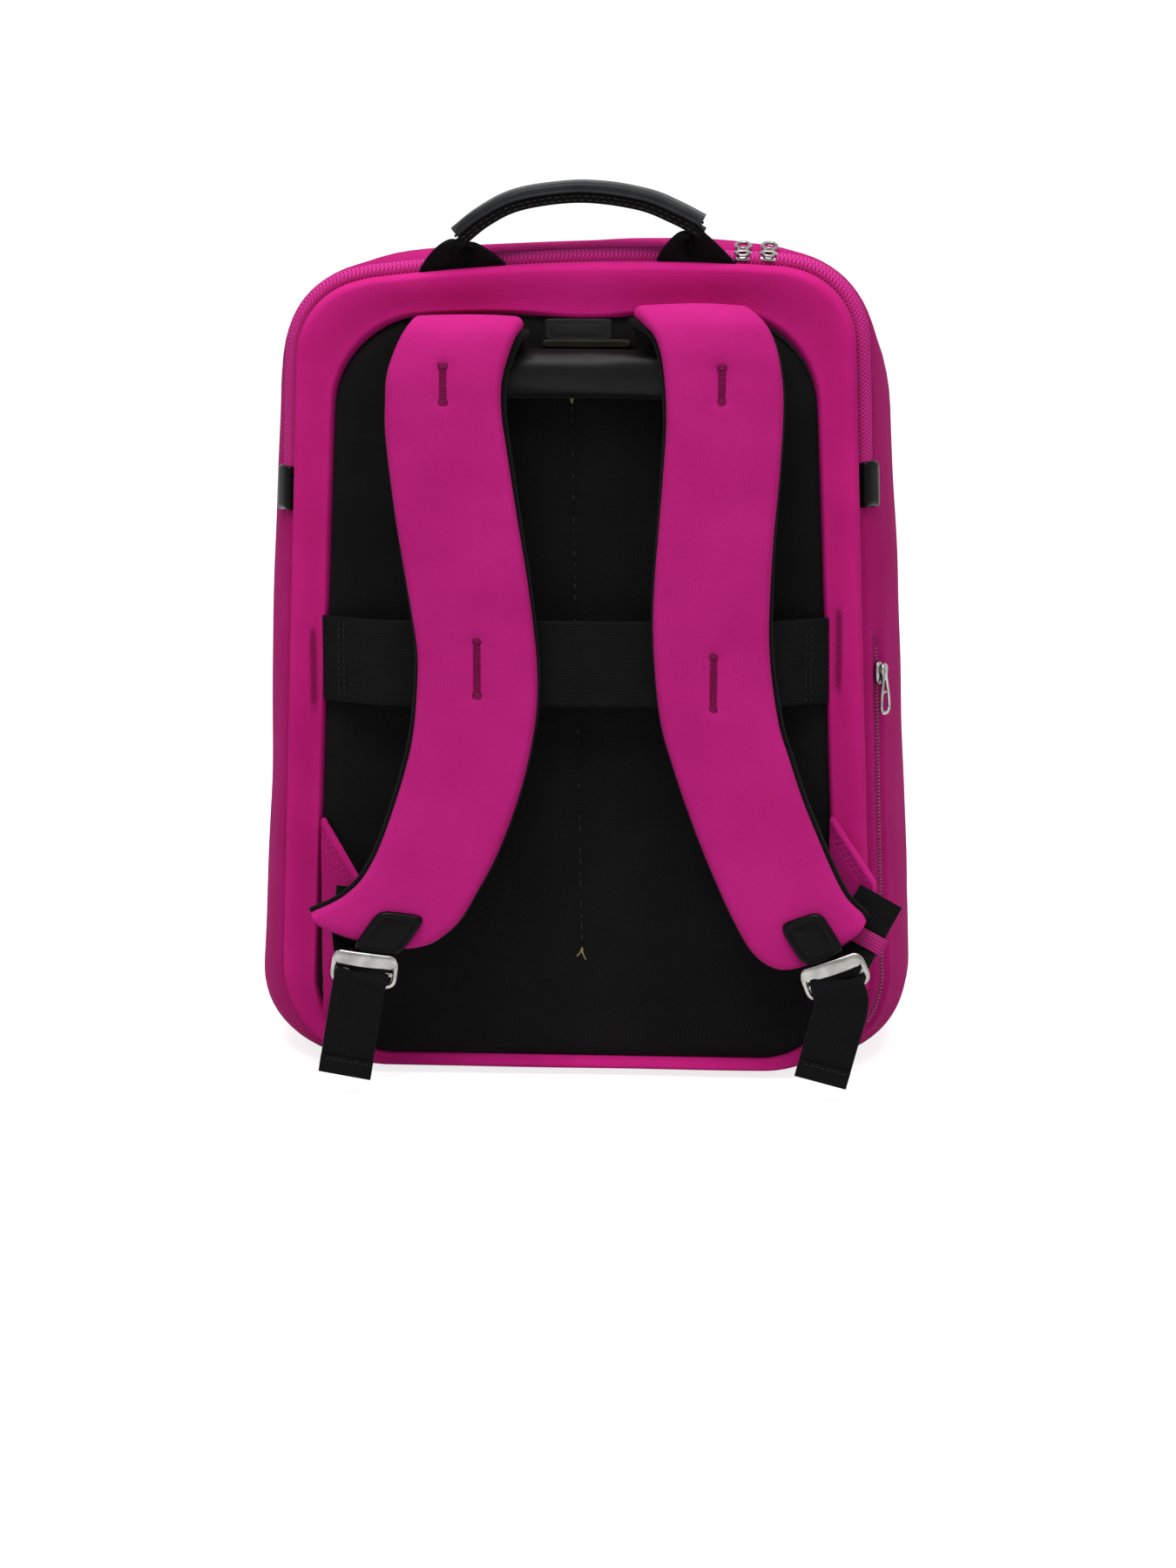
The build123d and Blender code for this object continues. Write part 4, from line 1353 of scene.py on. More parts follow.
    def base_panel(self) -> None:
        """Base panel with a rounded, stitched edge, let into the gusset's bottom."""
        half, low, high = self.base
        steps = [(0.6, 0.4), (0.0, 1.0), (0.5, 1.7), (2.0, 1.8), (4.5, 1.8), (5.2, 1.5), (6.0, 1.8), (20.0, 1.8)]
        piece = plaque("base_panel_cloth", (0.0, (low + high) / 2, 1.9), (1, 0, 0), (0, -1, 0),
                       (2 * half, high - low), steps, 9.0, count=160)
        settle(piece, self.finishes.shell, Slot.SHELL, "shell", "base_panel")

    def seams(self) -> None:
        """Piping along the front seam and a row of stitches on each side of it."""
        columns = np.append(ALL_ROUND, 0.0)
        line = on_body(columns, PANEL_Y, -0.2)[:, 0]
        line[-1] = line[0]
        line[:, 2] = np.maximum(line[:, 2], 1.3)
        a = np.linspace(0, 2 * math.pi, 10, endpoint=False)
        cord = np.stack([np.cos(a), np.sin(a)], axis=1) * 1.3
        out = np.append(SKIN_OUT[int((PANEL_Y - REAR_Y) / BODY.step)], SKIN_OUT[:1, 0], axis=0)
        pipe = grid_object("front_piping", carried(line, out, cord)[:-1], loop_u=True, loop_v=True)
        settle(pipe, self.finishes.shell, Slot.SHELL, MOUTH)
        for name, y in (("gusset", PANEL_Y - 4.5), ("front", PANEL_Y + 4.5)):
            row = on_body(columns, y, -0.15)[:, 0]
            sewn = stitches(f"{name}_seam_stitches", np.roll(row[:-1], -AROUND // 2, axis=0),
                            np.roll(out[:-1], -AROUND // 2, axis=0), 4.2, 3.0, 0.55)
            settle(sewn, self.finishes.thread_pink, Slot.SHELL, MOUTH)

    stages = (gusset, front, lining_skin, base_panel, seams)


# ------------------------------------------------------------------ padded back
@dataclass
class PaddedBack(Assembly):
    """Padded border, back pad, satin roll, label and trolley band."""
    pad_y: float = -88.0
    roll: tuple = (80.0, 322.0, 344.0, 18.0)  # half length, foot, head, how far it stands out
    label: tuple = (5.7, 346.6)  # x and z of the ledge's middle
    band_levels: tuple = (180.0, 220.0)  # its lower and upper edge
    tacks: tuple = ((-122.3, 178.0, 213.0), (122.3, 189.0, 225.0))  # x, foot and head of each bar tack
    # x and y of the trolley band's middle line, from seam to seam
    band_line: tuple = ((-117.5, -88.2), (-111, -91.6), (-103, -95.6), (-94, -100.4), (-84, -103.2), (-60, -103.7),
                        (0, -103.7), (60, -103.7), (84, -103.2), (94, -100.4), (103, -95.6), (111, -91.6),
                        (117.5, -88.2))

    def border(self) -> None:
        """Ring section carried round the outline.

        Across the ring the section rises in a quarter round at the outer seam, falls slowly over a broad face, and
        rounds off into the pad: sqrt(1 - (1 - t / 0.12)^2) (1 - 0.22 ease) sqrt(1 - ((t - 0.87) / 0.13)^2). The upper
        run sags at the middle of its lower edge.
        """
        outer, inner = frame_edge(FRAME_OUTER, 1.0), frame_edge(FRAME_INNER, 0.35)
        t = (0.5 - 0.5 * np.cos(np.linspace(0, math.pi, 36)))[None]
        rise = (np.sqrt(1 - (1 - np.clip(t / 0.12, 0, 1)) ** 2) * (1 - 0.22 * smooth((t - 0.15) / 0.7))
                * np.sqrt(1 - np.clip((t - 0.87) / 0.13, 0, 1) ** 2))
        share = np.concatenate([[[0.1, 0.03]], t, [[0.97, 0.9]]], axis=1)
        rise = np.concatenate([[[-0.06, -0.05]], rise, [[0.02, 0.0]]], axis=1)
        flat = outer[:, None] + (inner - outer)[:, None] * share[..., None]
        swell = 1.2 * np.exp(-(((share - 0.04) / 0.07) ** 2))
        flat = flat + unit(outer - inner)[:, None] * swell[..., None]
        x, z = flat[..., 0], flat[..., 1]
        sag = 3.5 * np.exp(-(((x - 6) / 26) ** 2)) * share * (z > 340)
        p = np.stack([x, REAR_Y - FRAME_T * rise + 0 * x, z - sag], axis=-1)
        p[..., 1] -= (0.55 * waves(p, 46, 2) + 0.5 * waves(p, 110, 7)) * np.clip(rise, 0, 1)
        piece = grid_object("padded_border", p, loop_u=True, loop_v=True)
        # The border takes the lighter copy of the shell's jersey, which is painted light.
        settle(piece, self.finishes.frame, Slot.SHELL, "shell", "back_frame", fill=0.6)

    def pad(self) -> None:
        """Pad: rows at constant height, rounded down at its edge, with a sewn channel down its middle.

        Depth at the edge is a quarter round of 9 mm; the channel is a Gaussian 2 mm wide along the stitch line.
        """
        low, high = FRAME_INNER[2:4]
        edge = frame_edge(FRAME_INNER, 0.0)[:AROUND // 2 + 1]
        levels = (low + high) / 2 - (high - low) / 2 * np.cos(np.linspace(0, math.pi, 150)) * (1 - 1e-4)
        order = np.argsort(edge[:, 1], kind="stable")
        half = np.interp(levels, edge[order, 1], edge[order, 0])
        u = np.sin(np.linspace(-math.pi / 2, math.pi / 2, 121) * 0.93) / math.sin(math.pi / 2 * 0.93)
        x = half[:, None] * u[None]
        z = levels[:, None] + 0 * x
        inside = inside_depth(x, z, FRAME_INNER)
        rim = np.sqrt(np.clip(1 - (1 - np.clip(inside / 9.0, 0, 1)) ** 2, 0, 1))
        y = -84.0 - 3.8 * rim - 1.4 * smooth(inside / 60)
        p = np.stack([x, y, z], axis=-1)
        p[..., 1] -= (0.7 * waves(p, 95, 11) + 0.28 * waves(p, 34, 4)) * smooth(inside / 14)
        back = p[:, ::-1] * [0.999, 0, 1] + [0, -79.6, 0]
        piece = closed_form("back_panel_pad", np.concatenate([p, back], axis=1), flip=True)
        quilt(piece, self.channel(), 2.4, 3.0)
        settle(piece, self.finishes.knit, Slot.PAD, "shell", "back_pad", fill=0.5)

    def channel(self) -> Array:
        """The stitch line down the pad, as points on its face."""
        return through([(-1.3, self.pad_y, 319), (-0.2, self.pad_y, 240), (1.6, self.pad_y, 150),
                        (3.3, self.pad_y, 62)], 120)

    def channel_stitches(self) -> None:
        """Running stitches down the channel, and the loose thread ends at its head and foot."""
        line = self.channel()
        line[:, 1] = -89.2
        line[:, 1] += 2.0 - 0.7 * waves(line, 95, 11) - 0.28 * waves(line, 34, 4)
        row = stitches("pad_stitches", line, (0, -1, 0), 5.2, 3.4, 0.8)
        settle(row, self.finishes.thread_black, Slot.PAD, "shell")
        ends = []
        for at, dx, dz in ((line[0], 2.2, 5.0), (line[0], -1.6, 4.2), (line[-1], 1.8, -5.5), (line[-1], -2.4, -4.0)):
            tail = through([at + (0, -0.6, 0), at + (dx * 0.3, -2.0, dz * 0.5), at + (dx, -1.4, dz)], 12)
            ends.append(band("end", tail, (0, -1, 0), 0.7, 0.7))
        settle(joined("pad_thread_ends", ends), self.finishes.thread_olive, Slot.PAD, "shell")

    def yoke(self) -> None:
        """Satin roll: a rounded section carried along X, fuller at its middle, with soft creases and drawn-in ends."""
        half, low, high, out = self.roll
        sewn_in = 2.5  # the part of the cover that is held at its back and at its ends
        s = np.linspace(-1, 1, 121)
        a = np.linspace(0, 2 * math.pi, 44, endpoint=False)
        full = ((1 - np.abs(s) ** 14) ** 0.5 * 0.999 + 0.001)[:, None]
        front = (1 + squared_off(np.cos(a), 0.75))[None]
        y = self.pad_y + 1.0 - (out / 2 + 0.5) * front * (0.35 + 0.65 * full)
        middle = (low + high) / 2 + 1.0 * np.cos(s * 2.2)[:, None] - 0.6
        z = middle + (high - low) / 2 * squared_off(np.sin(a), 0.8)[None] * full
        p = np.stack([np.broadcast_to((s * half)[:, None], y.shape), y, z], axis=-1)
        crease = 0.55 * waves(p * [0.35, 1, 1.6], 22, 8) + 0.4 * waves(p * [1, 1, 0.4], 60, 12)
        p[..., 1] -= crease * np.clip(np.cos(a), 0, 1)[None]
        piece = closed_form("yoke_roll_cover", p)
        sewn = (p[..., 1] > self.pad_y - sewn_in) | (np.abs(p[..., 0]) > half - sewn_in)
        held = np.ones(len(piece.data.vertices), bool)
        held[:sewn.size] = sewn.ravel()
        inflate(piece, held, 1.3)
        settle(piece, self.finishes.satin, Slot.SATIN, "shell", "yoke_roll", fill=0.55)

    def label_pieces(self) -> None:
        """Leather ledge with a turned edge, and the bare woven patch above it."""
        x, z = self.label
        steps = [(0.3, 0.0), (0.0, 0.8), (0.0, 6.4), (0.4, 7.2), (0.9, 7.5), (1.3, 7.3), (1.8, 7.4)]
        ledge = plaque("label_ledge", (x, -85.2, z), (1, 0, 0), (0, 0, 1), (40.4, 3.9), steps, 6.0)
        settle(ledge, self.finishes.ledge, Slot.LEATHER, "shell", "label_tab")
        steps = [(0.2, 0.0), (0.0, 0.5), (0.0, 2.6), (0.4, 3.0), (1.6, 3.0), (2.0, 2.8), (2.5, 3.0)]
        patch = plaque("label_patch_cloth", (1.7, -85.6, z + 6.0), (1, 0, 0), (0, 0, 1), (31.0, 10.4), steps, 12.0)
        settle(patch, self.finishes.patch, Slot.PATCH, "shell", "label_patch")

    def trolley_band(self) -> None:
        """Trolley band: webbing on a smooth line from seam to seam, sewn down by two rows at both ends."""
        low, high = self.band_levels
        count = 170
        line = through([(x, y, (low + high) / 2) for x, y in self.band_line], count)
        line[:, 2] += 0.005 * line[:, 0]
        p = carried(line, (0, -1, 0), soft_bar(high - low, 1.9, 0.85, flat=24))
        p[..., 1] -= 0.3 * waves(p, 70, 6)
        piece = closed_form("trolley_band", p)
        settle(piece, self.finishes.webbing, Slot.WEBBING, "shell", "luggage_band")
        rows = []
        for side in (-1, 1):
            for inset in (4.6, 7.4):
                at = np.interp(114.5 - inset, line[count // 2:, 0], np.arange(count // 2, count))
                x, y, _ = line[int(round(at if side > 0 else count - 1 - at))]
                z = np.linspace(low + 1.5, high - 1.5, 30)
                seam = np.stack([x + 0 * z, y - 1.5 + 0 * z, z], axis=1)
                rows.append(stitches("row", seam, (0.45 * side, -1, 0), 3.0, 2.1, 0.5))
        settle(joined("trolley_band_stitches", rows), self.finishes.thread_black, Slot.WEBBING, "shell")

    def bar_tacks(self) -> None:
        """Zigzag bar tacks on the border at both ends of the band."""
        tacks = []
        for x, low, high in self.tacks:
            z = np.arange(low, high, 0.8)
            spots = np.stack([x + 0 * z, -91.1 + 0 * z, z], axis=1)
            slant = np.where(np.arange(len(z)) % 2, 0.22, -0.22)
            along = unit(np.stack([1 + 0 * z, 0 * z, slant], axis=1))
            tacks.append(bars("tack", spots, along, 2.3, 0.6))
        settle(joined("border_bar_tacks", tacks), self.finishes.thread_deep, Slot.SHELL, "shell")

    stages = (border, pad, channel_stitches, yoke, label_pieces, trolley_band, bar_tacks)


def inflate(piece: Piece, sewn: Array, cap: float, pressure: float = 4.0, frames: int = 20) -> None:
    """Puffs a closed cover by a short cloth simulation with pressure inside and no gravity.

    The result goes into its mesh, and no simulation is left on it.

    Args:
        piece: the cover.
        sewn: which of its vertices are held.
        cap: how far a vertex may move, in millimetres.
        pressure: the pressure inside.
        frames: how many frames it runs.
    """
    group = piece.vertex_groups.new(name="sewn")
    group.add([int(i) for i in np.flatnonzero(sewn)], 1.0, "REPLACE")
    cloth = piece.modifiers.new("cloth", "CLOTH")
    cloth.settings.use_pressure = True
    cloth.settings.uniform_pressure_force = pressure
    cloth.settings.effector_weights.gravity = 0.0
    cloth.settings.vertex_group_mass = group.name
    cloth.point_cache.frame_start, cloth.point_cache.frame_end = 1, frames
    for count in range(1, frames + 1):
        bpy.context.scene.frame_set(count)
    before = points_of(piece.data)
    move = points_of(piece.evaluated_get(bpy.context.evaluated_depsgraph_get()).data) - before
    size = np.linalg.norm(move, axis=1, keepdims=True)
    move *= np.minimum(1.0, cap * MM / np.maximum(size, 1e-9))
    log.info("%s was puffed by up to %.2f mm", piece.name, float(size.max()) / MM)
    piece.modifiers.remove(cloth)
    piece.vertex_groups.remove(group)
    move_points(piece.data, before + move)
    bpy.context.scene.frame_set(1)


def quilt(piece: Piece, line: Array, depth: float, width: float) -> None:
    """Draws a stitched channel into a piece's face.

    Each vertex moves toward +Y by depth times exp(-(distance / width)^2), the distance being taken to the line in the
    XZ plane.

    Args:
        piece: the padded piece, whose face looks to -Y.
        line: the channel.
        depth: its depth in millimetres.
        width: its half width in millimetres.
    """
    co = points_of(piece.data) / MM
    gap = np.min(np.linalg.norm(co[:, None, [0, 2]] - line[None, ::2, [0, 2]], axis=-1), axis=1)
    co[:, 1] += depth * np.exp(-((gap / width) ** 2))
    move_points(piece.data, co * MM)


# ------------------------------------------------------------------ zips
@dataclass
class Zips(Assembly):
    """Main zip, side and front pocket zips: tapes, coils, leather end covers, sliders and pulls."""
    climb: float = math.radians(22.7)
    coil_pitch: float = 1.7
    wire: float = 0.42  # radius of the coils' nylon
    covers: tuple = ((Side.LEFT, 267.0, 289.0), (Side.RIGHT, 270.5, 293.0))  # foot and head of each end cover
    proud: float = 3.6  # how far the crowned top lifts the main sliders above their joints
    seat: tuple = (2.55, 3.9)  # how far a slider's seat is along its pull, and below it, from the pull's eye

    def strip_on(self, name: str, columns: Array, y: Array, lift: Array, body: str | Bend, node: str,
                 finish: Material) -> None:
        """A thin closed strip of tape that follows the body.

        Args:
            name: the piece's name.
            columns: places round the outline that it runs over.
            y: the places across it.
            lift: how far its upper face is above the body at each y; the lower face is 0.8 mm below that.
            body: what it rides on or bends over.
            node: the CAD node that it replaces.
            finish: its material.
        """
        ring_y = np.concatenate([y, y[::-1]])
        depth = np.concatenate([-lift, -lift[::-1] + 0.8])
        p = on_body(columns, ring_y[None], depth[None])
        piece = closed_form(name, p, flip=True)
        settle(piece, finish, Slot.TAPE, body, node)

    def coil(self, name: str, line: Array, out: Array, radius: float, body: str | Bend, node: str) -> None:
        """One coil: a small loop of nylon, tilted and repeated each pitch along the line.

        Args:
            name: the piece's name.
            line: the coil's middle line.
            out: the outward direction at each of its points.
            radius: the loops' half width.
            body: what it rides on or bends over.
            node: the CAD node that it replaces.
        """
        along = lengths(line)
        at = np.arange(self.coil_pitch, along[-1] - self.coil_pitch, self.coil_pitch)
        spots = read_rows(line, along, at)
        outs = unit(read_rows(out, along, at))
        t = np.linspace(0, math.pi, 5)
        a = np.linspace(0, 2 * math.pi, 6, endpoint=False)
        arch = np.stack([0.25 * np.cos(t) * radius, np.cos(t) * radius, np.sin(t) * radius * 0.8], axis=1)
        side = np.stack([0 * t, np.cos(t), np.sin(t)], axis=1)
        tube = (arch[:, None] + side[:, None] * (self.wire * np.cos(a))[None, :, None]
                + np.array([1.0, 0, 0]) * (self.wire * np.sin(a))[None, :, None]).reshape(-1, 3)
        # Two quads close each end of the tube.
        ends = np.array([[3, 2, 1, 0], [0, 5, 4, 3], [24, 25, 26, 27], [27, 28, 29, 24]])
        quads = np.vstack([grid_faces(5, 6, False, True, True), ends])
        piece = repeated(name, tube, quads, spots, *frames_along(spots, outs))
        settle(piece, self.finishes.coil, Slot.COIL, body, node)

    def main(self) -> None:
        """Main zip: both tapes run from the left end over the top to the right end."""
        columns = np.linspace(column_at(SPLIT_Z - 9, 1), column_at(SPLIT_Z - 9, -1), 260)
        # Each tape has its places across the zip and, for each of them, how far its face is above the body.
        rear = np.array([-80.0, -79.7, -79.1, -78.2, -77.0, -75.8, -74.8, -74.0, -73.5])
        lift = np.array([-2.2, -0.5, 0.8, 1.7, 2.0, 1.9, 1.7, 1.4, 1.0])
        self.strip_on("main_zip_tape_rear", columns, rear, lift, "shell", "main_tape_rear", self.finishes.tape)
        front = np.array([-72.6, -72.2, -71.8, -71.2, -70.4, -69.4])
        lift = np.array([0.9, 0.7, -0.1, -1.5, -1.9, -2.1])
        self.strip_on("main_zip_tape_front", columns, front, lift, MOUTH, "main_tape_front", self.finishes.tape)
        upper = np.linspace(column_at(SPLIT_Z + 1, 1), column_at(SPLIT_Z + 1, -1), 300)
        out = outward(upper, MAIN_ZIP_Y)
        for name, y, body, node in (("rear", -73.45, "shell", "main_coil_rear"),
                                    ("front", -72.6, MOUTH, "main_coil_front")):
            self.coil(f"main_zip_coil_{name}", on_body(upper, y, 0.75)[:, 0], out, 0.75, body, node)
        for cover in self.covers:
            self.end_cover(*cover)

    def end_cover(self, side: Side, low: float, high: float) -> None:
        """Leather cover folded over one end of the main zip: a rounded plate that follows the body.

        Args:
            side: which end of the zip.
            low: the cover's foot.
            high: the cover's head.
        """
        sign = side.value
        z = low + (high - low) * (0.5 - 0.5 * np.cos(np.linspace(0.001, math.pi - 0.001, 18)))
        columns = np.array([column_at(h, sign, -75) for h in z])
        t = np.linspace(-1, 1, 13)
        length = np.abs((z - z.mean()) / (z[-1] - z[0]) * 2)
        half = 5.9 * (1 - np.clip(length, 0, 1) ** 8) ** 0.25 + 0.05
        y = -75.0 + half[:, None] * t[None]
        inset = np.minimum(half[:, None] * (1 - np.abs(t))[None], ((z[-1] - z[0]) / 2 * (1 - length))[:, None])
        lift = 3.0 * smooth(inset / 1.6 + 0.12) - 0.35 * np.exp(-(((inset - 2.0) / 0.5) ** 2))
        both_y = np.concatenate([y, y[:, ::-1]], axis=1)
        depth = np.concatenate([-lift, 1.2 + 0 * lift], axis=1)
        p = on_body(columns, both_y, depth)
        piece = closed_form(f"zip_end_cover_{side.word}", p, flip=sign > 0)
        settle(piece, self.finishes.gloss, Slot.LEATHER, "shell", f"zip_end_tab_{side.word}")

    def side_pocket(self) -> None:
        """Side pocket's zip, let into the side, with its coil along the middle."""
        ends = (column_at(z, 1, SIDE_ZIP_Y) for z in (SIDE_ZIP_LOW - 3, SIDE_ZIP_HIGH + 3))
        columns = np.linspace(*ends, 110)
        y = SIDE_ZIP_Y + np.array([-5.2, -4.2, -2.4, -0.8, 0.8, 2.4, 4.2, 5.2])
        lift = np.array([-2.1, -1.5, -1.2, -1.35, -1.35, -1.2, -1.5, -2.1])
        # The side zip's tape is the darker copy of the tape, painted shade for its recess.
        self.strip_on("side_pocket_tape", columns, y, lift, "shell", "side_zip_tape", self.finishes.tape_in_painted_shade)
        out = outward(columns, SIDE_ZIP_Y)
        self.coil("side_pocket_coil", on_body(columns[3:-3], SIDE_ZIP_Y, 1.7)[:, 0], out[3:-3], 1.0, "shell",
                  "side_zip_coil")

    def front_pocket(self) -> None:
        """Front pocket's zip across the front panel."""
        x = np.linspace(-FRONT_ZIP_HALF - 1, FRONT_ZIP_HALF + 1, 90)
        line = np.stack([x, np.full_like(x, FRONT_Y - 1.6), np.full_like(x, FRONT_ZIP_Z)], axis=1)
        tape = band("front_pocket_tape", line, (0, 1, 0), 9.4, 1.2)
        settle(tape, self.finishes.tape, Slot.TAPE, "shell", "front_zip_tape")
        line[:, 1] = FRONT_Y - 1.1
        out = np.tile([0.0, 1.0, 0.0], (90, 1))
        self.coil("front_pocket_coil", line[2:-2], out[2:-2], 1.0, "shell", "front_zip_coil")

    def slider(self, name: str, seat: Array, along: Array, out: Array) -> None:
        """Slider: a domed shield-shaped body with a bridge over it that holds the pull.

        Args:
            name: its name and its body.
            seat: the middle of its underside.
            along: the way that it runs.
            out: outward from the zip.
        """
        along, out = unit(along), unit(out)
        across = np.cross(out, along)
        steps = [(0.9, 0.35), (0.2, 0.5), (0.0, 1.0), (0.2, 1.6), (0.8, 2.2), (1.7, 2.6), (2.6, 2.75)]
        body = plaque("shield", tuple(seat), along, across, (11.0, 6.8), steps, 2.6, count=40)
        t = np.linspace(0.05, math.pi - 0.05, 22)
        arch = seat + along * (4.0 * np.cos(t))[:, None] + out * (2.0 + 2.5 * np.sin(t) ** 0.7)[:, None]
        piece = joined(f"{name}_casting", [body, band("bridge", arch, out, 2.0, 1.0)])
        settle(piece, self.finishes.metal, Slot.METAL, name, name)

    def pull(self, name: str, eye: Array, way: Array, across: Array, length: float, wide: float) -> None:
        """Pull: an open trapezoid frame that widens to its end, on a round ring at the slider's bridge.

        Args:
            name: its name and its body.
            eye: where it turns.
            way: where it points.
            across: its turning axis.
            length: its length from the eye.
            wide: its width at the end.
        """
        way, across = unit(way), unit(across)
        out = np.cross(way, across)
        right = np.array([(3.2, 1.5), (6.0, 1.9), (length * 0.6, wide * 0.42), (length - 2.2, wide / 2),
                          (length, wide / 2 - 1.6), (length + 0.4, 0)])
        outline = through(np.vstack([right, (right * [1, -1])[-2::-1]]), 90)
        path = eye + way * outline[:, :1] + across * outline[:, 1:]
        rim = closed_form("rim", carried(path, out, soft_bar(1.7, 1.5, 0.6, flat=2, turn=3)))
        t = np.linspace(0, 2 * math.pi, 28, endpoint=False)
        loop = eye + way * (1.1 + 2.5 * np.cos(t))[:, None] + across * (2.5 * np.sin(t))[:, None]
        ring = hoop("ring", loop, out, soft_bar(1.5, 1.5, 0.7, flat=1, turn=3))
        line = eye + way * np.full((2, 1), length * 0.55) + across * np.array([[-wide * 0.4], [wide * 0.4]])
        piece = joined(f"{name}_plate", [rim, ring, band("bar", line, out, 1.3, 1.2)])
        settle(piece, self.finishes.metal, Slot.METAL, name, name)

    def fitted(self, name: str, eye: Array, way: Array, out: Array, along: Array, across: Array, size: tuple) -> None:
        """A slider with its pull.

        Args:
            name: their name, with a gap for the word slider or pull.
            eye: where the pull turns.
            way: where the pull points.
            out: outward from the zip.
            along: the way that the slider runs.
            across: the pull's turning axis.
            size: the pull's length and width.
        """
        self.slider(name.format("slider"), eye + way * self.seat[0] - out * self.seat[1], along, out)
        self.pull(name.format("pull"), eye, way, across, *size)

    def hardware(self) -> None:
        """Every slider and pull, seated where the frame's joints are."""
        right, down = np.array([1.0, 0, 0]), np.array([0, 0, -1.0])
        lean = np.array([0, -math.sin(self.climb), math.cos(self.climb)])
        rise = np.array([0, math.cos(self.climb), math.sin(self.climb)])
        eye = joint("main_pull_turn_left")[0] + lean * self.proud
        self.fitted("main_{}_left", eye, rise, lean, right, right, (12.0, 6.4))
        eye, along = joint("main_pull_turn_right")
        radial = np.cross(along, [0, 1, 0])
        lean = np.array([0, -math.sin(self.climb), 0]) + radial * math.cos(self.climb)
        rise = np.array([0, math.cos(self.climb), 0]) + radial * math.sin(self.climb)
        self.fitted("main_{}_right", eye + lean * self.proud, rise, lean, along, along, (12.0, 6.4))
        eye, axis = joint("side_pull_turn")
        _, fall = joint("side_slide")
        out = np.cross(-axis, fall) * -1
        self.fitted("side_{}", eye, fall, out, fall, np.cross(out, fall), (21.0, 9.0))
        eye, _ = joint("front_pull_turn")
        self.fitted("front_{}", eye, down, np.array([0, 1.0, 0]), right, right, (19.0, 8.0))

    stages = (main, side_pocket, front_pocket, hardware)


# ------------------------------------------------------------------ straps and what hangs on them
STRAP_SIDE = ((-90.0, 347.5), (-97.0, 356.6), (-106.0, 359.6), (-115.6, 353.5), (-120.4, 335.0), (-120.5, 260.0),
              (-119.0, 190.0), (-121.5, 120.0), (-127.0, 52.0))


@dataclass(frozen=True)
class StrapShape:
    """One strap's edges and fittings.

    Each station is the spine edge's x and z and the arm edge's x and z, from the shoulder to the tip.
    """
    side: Side
    root: tuple  # x of both edges where the strap comes out of the back seam
    stations: tuple
    slots: tuple  # x, foot and head of each sewn slot
    tab: tuple  # middle (x, z) and way (x, z) of the leather tab
    tail: tuple  # head and foot of the webbing tail (x, z)
    liner_spine: tuple  # how far the liner shows beyond the spine edge: at the shoulder, at a third, and on
    liner_arm: tuple
    skew: float  # how far the tab's and the buckle's width leans along the tab
    crest: float = 0.0  # how much higher than STRAP_SIDE it goes over the shoulder

    def side_line(self) -> Array:
        """The strap seen from the side, as y and z, from the back seam over the shoulder to the tip.

        Returns:
            Rows of y and z.
        """
        line = np.array(STRAP_SIDE)
        line[:, 1] += self.crest * smooth((line[:, 1] - 330) / 24)
        return line

    def face_y(self, z: Array) -> Array:
        """How far out the strap's face is at height z, below the shoulder.

        Args:
            z: the heights.

        Returns:
            A y per height.
        """
        side = through(self.side_line(), 500)
        front = side[int(np.argmax(side[:, 1])):][::-1]
        return np.interp(z, front[:, 1], front[:, 0])


LEFT_STRAP = StrapShape(
    Side.LEFT, ((-25.5, -76.0), (-23.5, -74.5), (-22.3, -73.5)),
    ((-25.2, 353, -77.4, 353), (-30.8, 334, -83.2, 336), (-31.4, 318, -84.4, 320), (-29, 300, -84.2, 305),
     (-24.5, 270, -80.5, 272), (-20.5, 245, -76.5, 246), (-17.5, 222, -73, 224), (-15.5, 200, -70.7, 205),
     (-16, 178, -71.3, 186), (-20.5, 153, -73.4, 166), (-27, 131, -77.5, 149), (-35, 111, -82.5, 133),
     (-43, 96, -87.5, 119), (-50.6, 83, -92.5, 108), (-58, 75.5, -98, 99.5), (-66, 70.5, -105, 93),
     (-77, 68.5, -111, 89.3), (-89, 69.6, -115.5, 87.2), (-105, 73.6, -119, 85.6), (-116.5, 78.3, -120.9, 84.4)),
    ((-57.7, 323.0, 338.0), (-43.0, 188.0, 212.0)), ((-83.5, 77.0), (-0.56, -0.83)), ((-97.5, 52.0), (-104.5, 10.0)),
    (2.8, 1.4, 0.6), (0.4, 0.8, 2.4), -0.49)
RIGHT_STRAP = StrapShape(
    Side.RIGHT, ((30.5, 83.5), (28.8, 81.8), (28.4, 81.6)),
    ((34, 359, 88.2, 359.5), (40, 348, 93, 348), (42.8, 331, 95.8, 333), (43.5, 312, 96.4, 317), (42, 288, 95, 290),
     (40, 262, 92.6, 262), (38.3, 240, 91.3, 238), (37.7, 218, 90.8, 215), (39, 194, 92.3, 195), (41.8, 173, 95.8, 174),
     (47, 155, 100.2, 160), (54.5, 133, 106.2, 142), (64, 109, 113.5, 124), (76, 83, 121.5, 106),
     (86, 67.5, 127, 96), (98, 61.4, 131.5, 91), (113, 65, 134.5, 88.4), (126, 73, 136.2, 86),
     (133.5, 78.6, 136.8, 84.4)),
    ((68.7, 324.0, 338.0), (65.6, 183.0, 206.0)), ((111.9, 77.3), (0.53, -0.85)), ((126.0, 47.0), (116.5, 10.5)),
    (2.6, 1.3, 0.6), (0.4, 0.8, 2.2), 0.2, 5.4)


